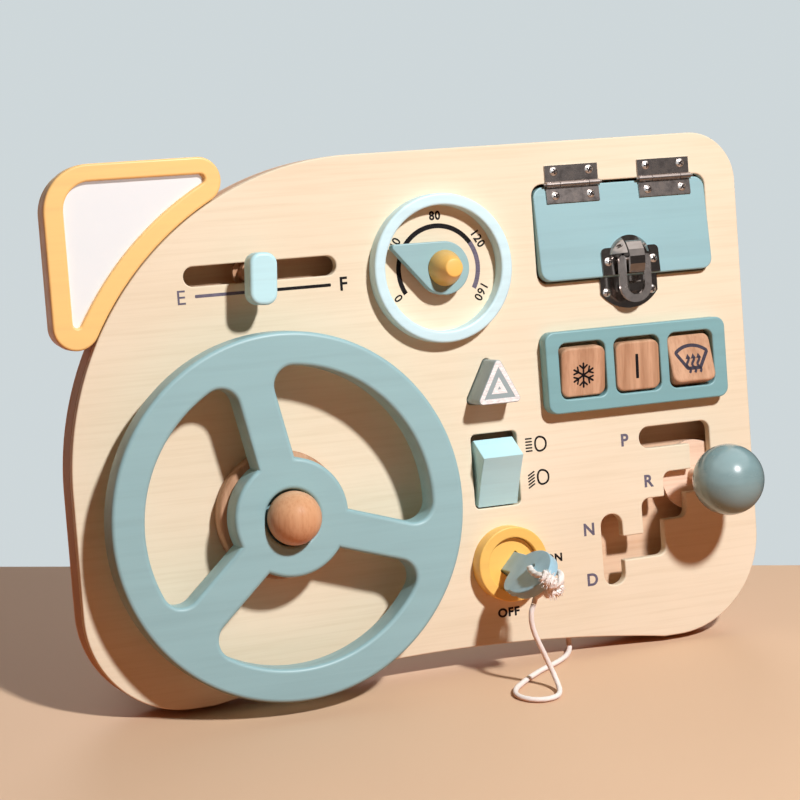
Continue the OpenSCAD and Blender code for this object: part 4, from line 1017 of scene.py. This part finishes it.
# Lays the rocker's side outline upright, with its width along u
SIDEWAYS = Matrix(((0, 0, 1, 0), (1, 0, 0, 0), (0, 1, 0, 0), (0, 0, 0, 1)))
rocker_place = turned(SWITCH_U - ROCKER_W / 2 - 0.5, SWITCH_V, -FRONT_T, ROCKER_TIP, "X") @ SIDEWAYS
plate("switch_rocker", [rocker_loop()], 0, ROCKER_W, 0.45, CYAN, "light_switch", rocker_place)
lamp_sign("sign_high_beam", 134.6, 17.9, 0.0)
lamp_sign("sign_low_beam", 134.8, 1.6, 1.6)

# ---- Ignition ----

KEY_COS, KEY_SIN = math.cos(KEY_TURN), math.sin(KEY_TURN)
KEY_PLANE = Matrix((
    (KEY_COS, 0, KEY_SIN, LOCK_U),
    (KEY_SIN, 0, -KEY_COS, LOCK_V),
    (0, 1, 0, 0),
    (0, 0, 0, 1),
))


def on_key(across, off, out):
    """A point by the key: along its width, off its seen face, out of the board."""
    return FACE @ KEY_PLANE @ Vector((across, out, -off))


def key_outline(steps=120):
    """Blade, oval bow and heel, joined as the furthest reach from a point that lies in all three."""
    x0, y0 = KEY_MIDDLE
    out = [(x, BLADE_IN) for x in (-BLADE_HALF, BLADE_HALF)]
    for k in range(steps):
        dx, dy = math.cos(2 * math.pi * k / steps), math.sin(2 * math.pi * k / steps)
        to_side = (math.copysign(BLADE_HALF, dx) - x0) / dx if abs(dx) > 1e-9 else math.inf
        to_end = ((BLADE_OUT if dy > 0 else BLADE_IN) - y0) / dy if abs(dy) > 1e-9 else math.inf
        reach = min(to_side, to_end)
        for mid_x, mid_y, half_w, half_h in (BOW, HEEL):
            px, py, qx, qy = (x0 - mid_x) / half_w, (y0 - mid_y) / half_h, dx / half_w, dy / half_h
            b, a, c = px * qx + py * qy, qx * qx + qy * qy, px * px + py * py - 1
            reach = max(reach, (math.sqrt(b * b - a * c) - b) / a)
        out.append((x0 + reach * dx, y0 + reach * dy))
    return sorted(out, key=lambda point: math.atan2(point[1] - y0, point[0] - x0))


lock_outer = [(0, 1.0), (0, 0.6), (0.15, 0.2), (0.5, 0), (0.9, 0)]
lock_inner = [(0.8, 0), (0.4, 0), (0.1, 0.15), (0, 0.5), (0, 0.9)]
lock_section = ring_profile(LOCK_IN_R, LOCK_R, LOCK_H, lock_outer, lock_inner)
lathe("lock_ring", lock_section, LOCK_U, LOCK_V, YELLOW, "ignition_ring")
letters("lock_off", "OFF", OFF_H, BLACK, Matrix.Translation(OFF_AT), 1.05, 0.038, 1.12)
letters("lock_on", "ON", ON_H, BLACK, Matrix.Translation(ON_AT), 1.05, 0.038, 1.1)
plate("key_blade", [key_outline(), ring(*KEY_HOLE, KEY_HOLE_R, 32)], -KEY_T / 2, KEY_T / 2, KEY_EDGE, KEY,
      "ignition_key", KEY_PLANE, 4)

# ---- Loop, knot and frayed end at the key: loop points are (across, off, out) in mm, radii in metres ----

LOOP_R, KNOT_R, WRAP_R = 0.0016, 0.00175, 0.0011
LOOP = [
    (-3.2, -6.3, 45), (-3.4, -3.9, 50), (-3.4, 0, 52), (-3.6, 3.8, 50.2), (-4.2, 4.5, 46),
    (-3.2, 4.4, 40), (-1.6, 4, 34.5), (-0.8, 1.2, 32), (-0.6, -1.8, 31.8), (0.6, -4.6, 33.2),
    (2.8, -5.6, 37), (4.2, -5.8, 41.5), (3.2, -6.2, 45.5), (0.2, -7.2, 46.5), (-2.5, -7.5, 45),
]
KNOT_AT, WRAP_AT = on_key(-3.2, -7.3, 42.6), on_key(-3.5, 0.8, 51.2)
FIBRES, FIBRE_HALF, FIBRE_LEN, FIBRE_R = 170, 0.0011, 0.0021, (0.00022, 0.00018, 0.0001)
GOLDEN = math.pi * (3 - math.sqrt(5))


def trefoil(steps=90, size=0.0014):
    """Points of a trefoil knot."""
    out = []
    for k in range(steps + 1):
        t = 2 * math.pi * k / steps
        r = 2 + math.cos(3 * t)
        out.append(KNOT_AT + Vector((r * math.cos(2 * t), math.sin(3 * t) * 1.3, r * math.sin(2 * t))) * size)
    return out


def wrap_points(steps=84, rounds=3.5):
    """A helix over the bow's rim, from its seen face to the far one."""
    out = []
    for k in range(steps + 1):
        t = k / steps
        turn = 2 * math.pi * rounds * t
        rise = 1.2 * math.sin(math.pi * t)
        out.append(on_key(-3.5 + 1.9 * math.cos(turn), 4.4 - 7.6 * t, 50.9 + rise + 1.5 * math.sin(turn)))
    return out


def fray():
    """Short bent fibres that stand out all round the knot and the wrap."""
    verts, faces = [], []
    for k in range(FIBRES):
        middle, away = (WRAP_AT, 0.0026) if k % 5 < 2 else (KNOT_AT, 0.0044)
        z = 1 - 2 * (k + 0.5) / FIBRES
        flat = math.sqrt(1 - z * z)
        out = Vector((flat * math.cos(k * GOLDEN), flat * math.sin(k * GOLDEN), z))
        side = out.cross(Vector((0.3, 0.5, 0.8))).normalized()
        bend = side.cross(out) * math.sin(k * 1.7) * FIBRE_HALF
        root = middle + out * away
        spine = [root, root + out * FIBRE_HALF + bend * 0.3, root + out * FIBRE_LEN + bend]
        n = len(verts)
        for point, r in zip(spine, FIBRE_R):
            for x, y in ring(0, 0, r, 3):
                verts.append(point + side * x + side.cross(out) * y)
        for i in (n, n + 3):
            faces += [(i + j, i + (j + 1) % 3, i + 3 + (j + 1) % 3, i + 3 + j) for j in range(3)]
        faces += [(n + 2, n + 1, n), (n + 6, n + 7, n + 8)]
    return raw_mesh("cotton_fray", verts, faces)


loop_points = smooth_route([on_key(*point) / MM for point in LOOP], 7)
rope("cotton_loop", loop_points, LOOP_R, "cord_top", twist=0.0026)
rope("cotton_knot", trefoil(), KNOT_R, "cord_knot", replaces=("cord_knot",))
rope("cotton_wrap", wrap_points(), WRAP_R, "cord_top", sides=15)
finish_mesh("cotton_fray", fray(), COTTON, "cord_top")

# ---- Gear knob ----

for letter, u, v in GEAR_LETTERS:
    name = "gear_" + letter.lower()
    letters(name, letter, GEAR_LETTER_H, PURPLE, Matrix.Translation((u, v, 0)), bold=0.03)
gear_knob = [(STEM_R, STEM_OUT)] + ball_profile(BALL_R, BALL_UP, -80, 5)
lathe("gear_knob", gear_knob, GEAR_U, GEAR_V, GLOSS, "gear_ball")

# ---- Floor: it ends behind the board, where the photo's table ends ----

FLOOR_HALF, FLOOR_DEPTH, FLOOR_AHEAD = 3, 3, 1.225
along, away = Vector((0.924, -0.383, 0)), Vector((0.382, 0.924, 0))
far_edge = Vector((-0.4257, -1.001, 0)) + away * FLOOR_AHEAD
near_edge = far_edge - away * FLOOR_DEPTH
side = along * FLOOR_HALF
floor_corners = [near_edge - side, near_edge + side, far_edge + side, far_edge - side]
floor_mesh = raw_mesh("floor", floor_corners, [(0, 1, 2, 3)])
floor = bpy.data.objects.new("floor", floor_mesh)
scene.collection.objects.link(floor)

# The camera sees the pale table, glossy pieces a dimmer one, and its bounce is warm
table = Look("floor_pale")
cloud = table.noise(3, 3, 0.5, lean=False)
pale = table.ramp(cloud, [(0.3, (0.64, 0.45, 0.30)), (0.7, (0.68, 0.485, 0.325))])
ray = table.add("ShaderNodeLightPath").outputs
bounce = table.mix(ray["Is Glossy Ray"], (0.48, 0.145, 0.03), (0.24, 0.15, 0.09))
table.colour(table.mix(ray["Is Camera Ray"], bounce, pale))
table.set(Roughness=0.6)
floor_mesh.materials.append(table.material)

# ---- World: the camera sees a plain wall, matt pieces a faint warm fill, glossy pieces a room ----

world = bpy.data.worlds.new("studio")
scene.world = world
world.use_nodes = True
world.node_tree.nodes.clear()
air = Nodes(world.node_tree)


def glow(colour, strength):
    return air.add("ShaderNodeBackground", Color=(*colour, 1), Strength=strength).outputs[0]


def beyond(value, low, high):
    """A soft step from 0 at low to 1 at high."""
    node = air.add("ShaderNodeMapRange", interpolation_type="SMOOTHSTEP", From_Min=low, From_Max=high)
    air.link(value, node.inputs["Value"])
    return node.outputs["Result"]


def pick(fac, a, b):
    node = air.add("ShaderNodeMixShader")
    air.link(fac, node.inputs["Fac"])
    air.link(a, node.inputs[1])
    air.link(b, node.inputs[2])
    return node.outputs[0]


way = air.add("ShaderNodeSeparateXYZ")
air.link(air.add("ShaderNodeTexCoord").outputs["Generated"], way.inputs[0])
rays = air.add("ShaderNodeLightPath").outputs
wall = glow((0.62, 0.68, 0.70), 1.0)
fill = glow((1.0, 0.36, 0.10), 0.078)
dim_room = glow((0.07, 0.06, 0.055), 1.0)
ceiling = glow((1.0, 0.98, 0.95), 1.5)
room = pick(beyond(way.outputs["X"], 0.32, 0.38), wall, dim_room)
room = pick(beyond(way.outputs["Z"], 0.5, 0.72), room, ceiling)
surface = pick(rays["Is Camera Ray"], pick(rays["Is Glossy Ray"], fill, room), wall)
air.link(surface, air.add("ShaderNodeOutputWorld").inputs["Surface"])

# ---- Lights ----


def disk_lamp(name, place, target, size, power, colour):
    data = bpy.data.lights.new(name, "AREA")
    data.shape = "DISK"
    data.size = size
    data.energy = power
    data.color = colour
    lamp = bpy.data.objects.new(name, data)
    scene.collection.objects.link(lamp)
    lamp.location = place
    lamp.rotation_euler = (Vector(target) - Vector(place)).to_track_quat("-Z", "Y").to_euler()


disk_lamp("key_lamp", place=(0.32, -1.035, 1.20), target=(0.0, -0.02, 0.12), size=0.12, power=28.5,
          colour=(1.0, 0.975, 0.97))
disk_lamp("back_lamp", place=(0.5, 1.7, 1.2), target=(0.0, 0.0, 0.1), size=1.2, power=9,
          colour=(1.0, 0.95, 0.9))

scene.view_settings.view_transform = "Standard"
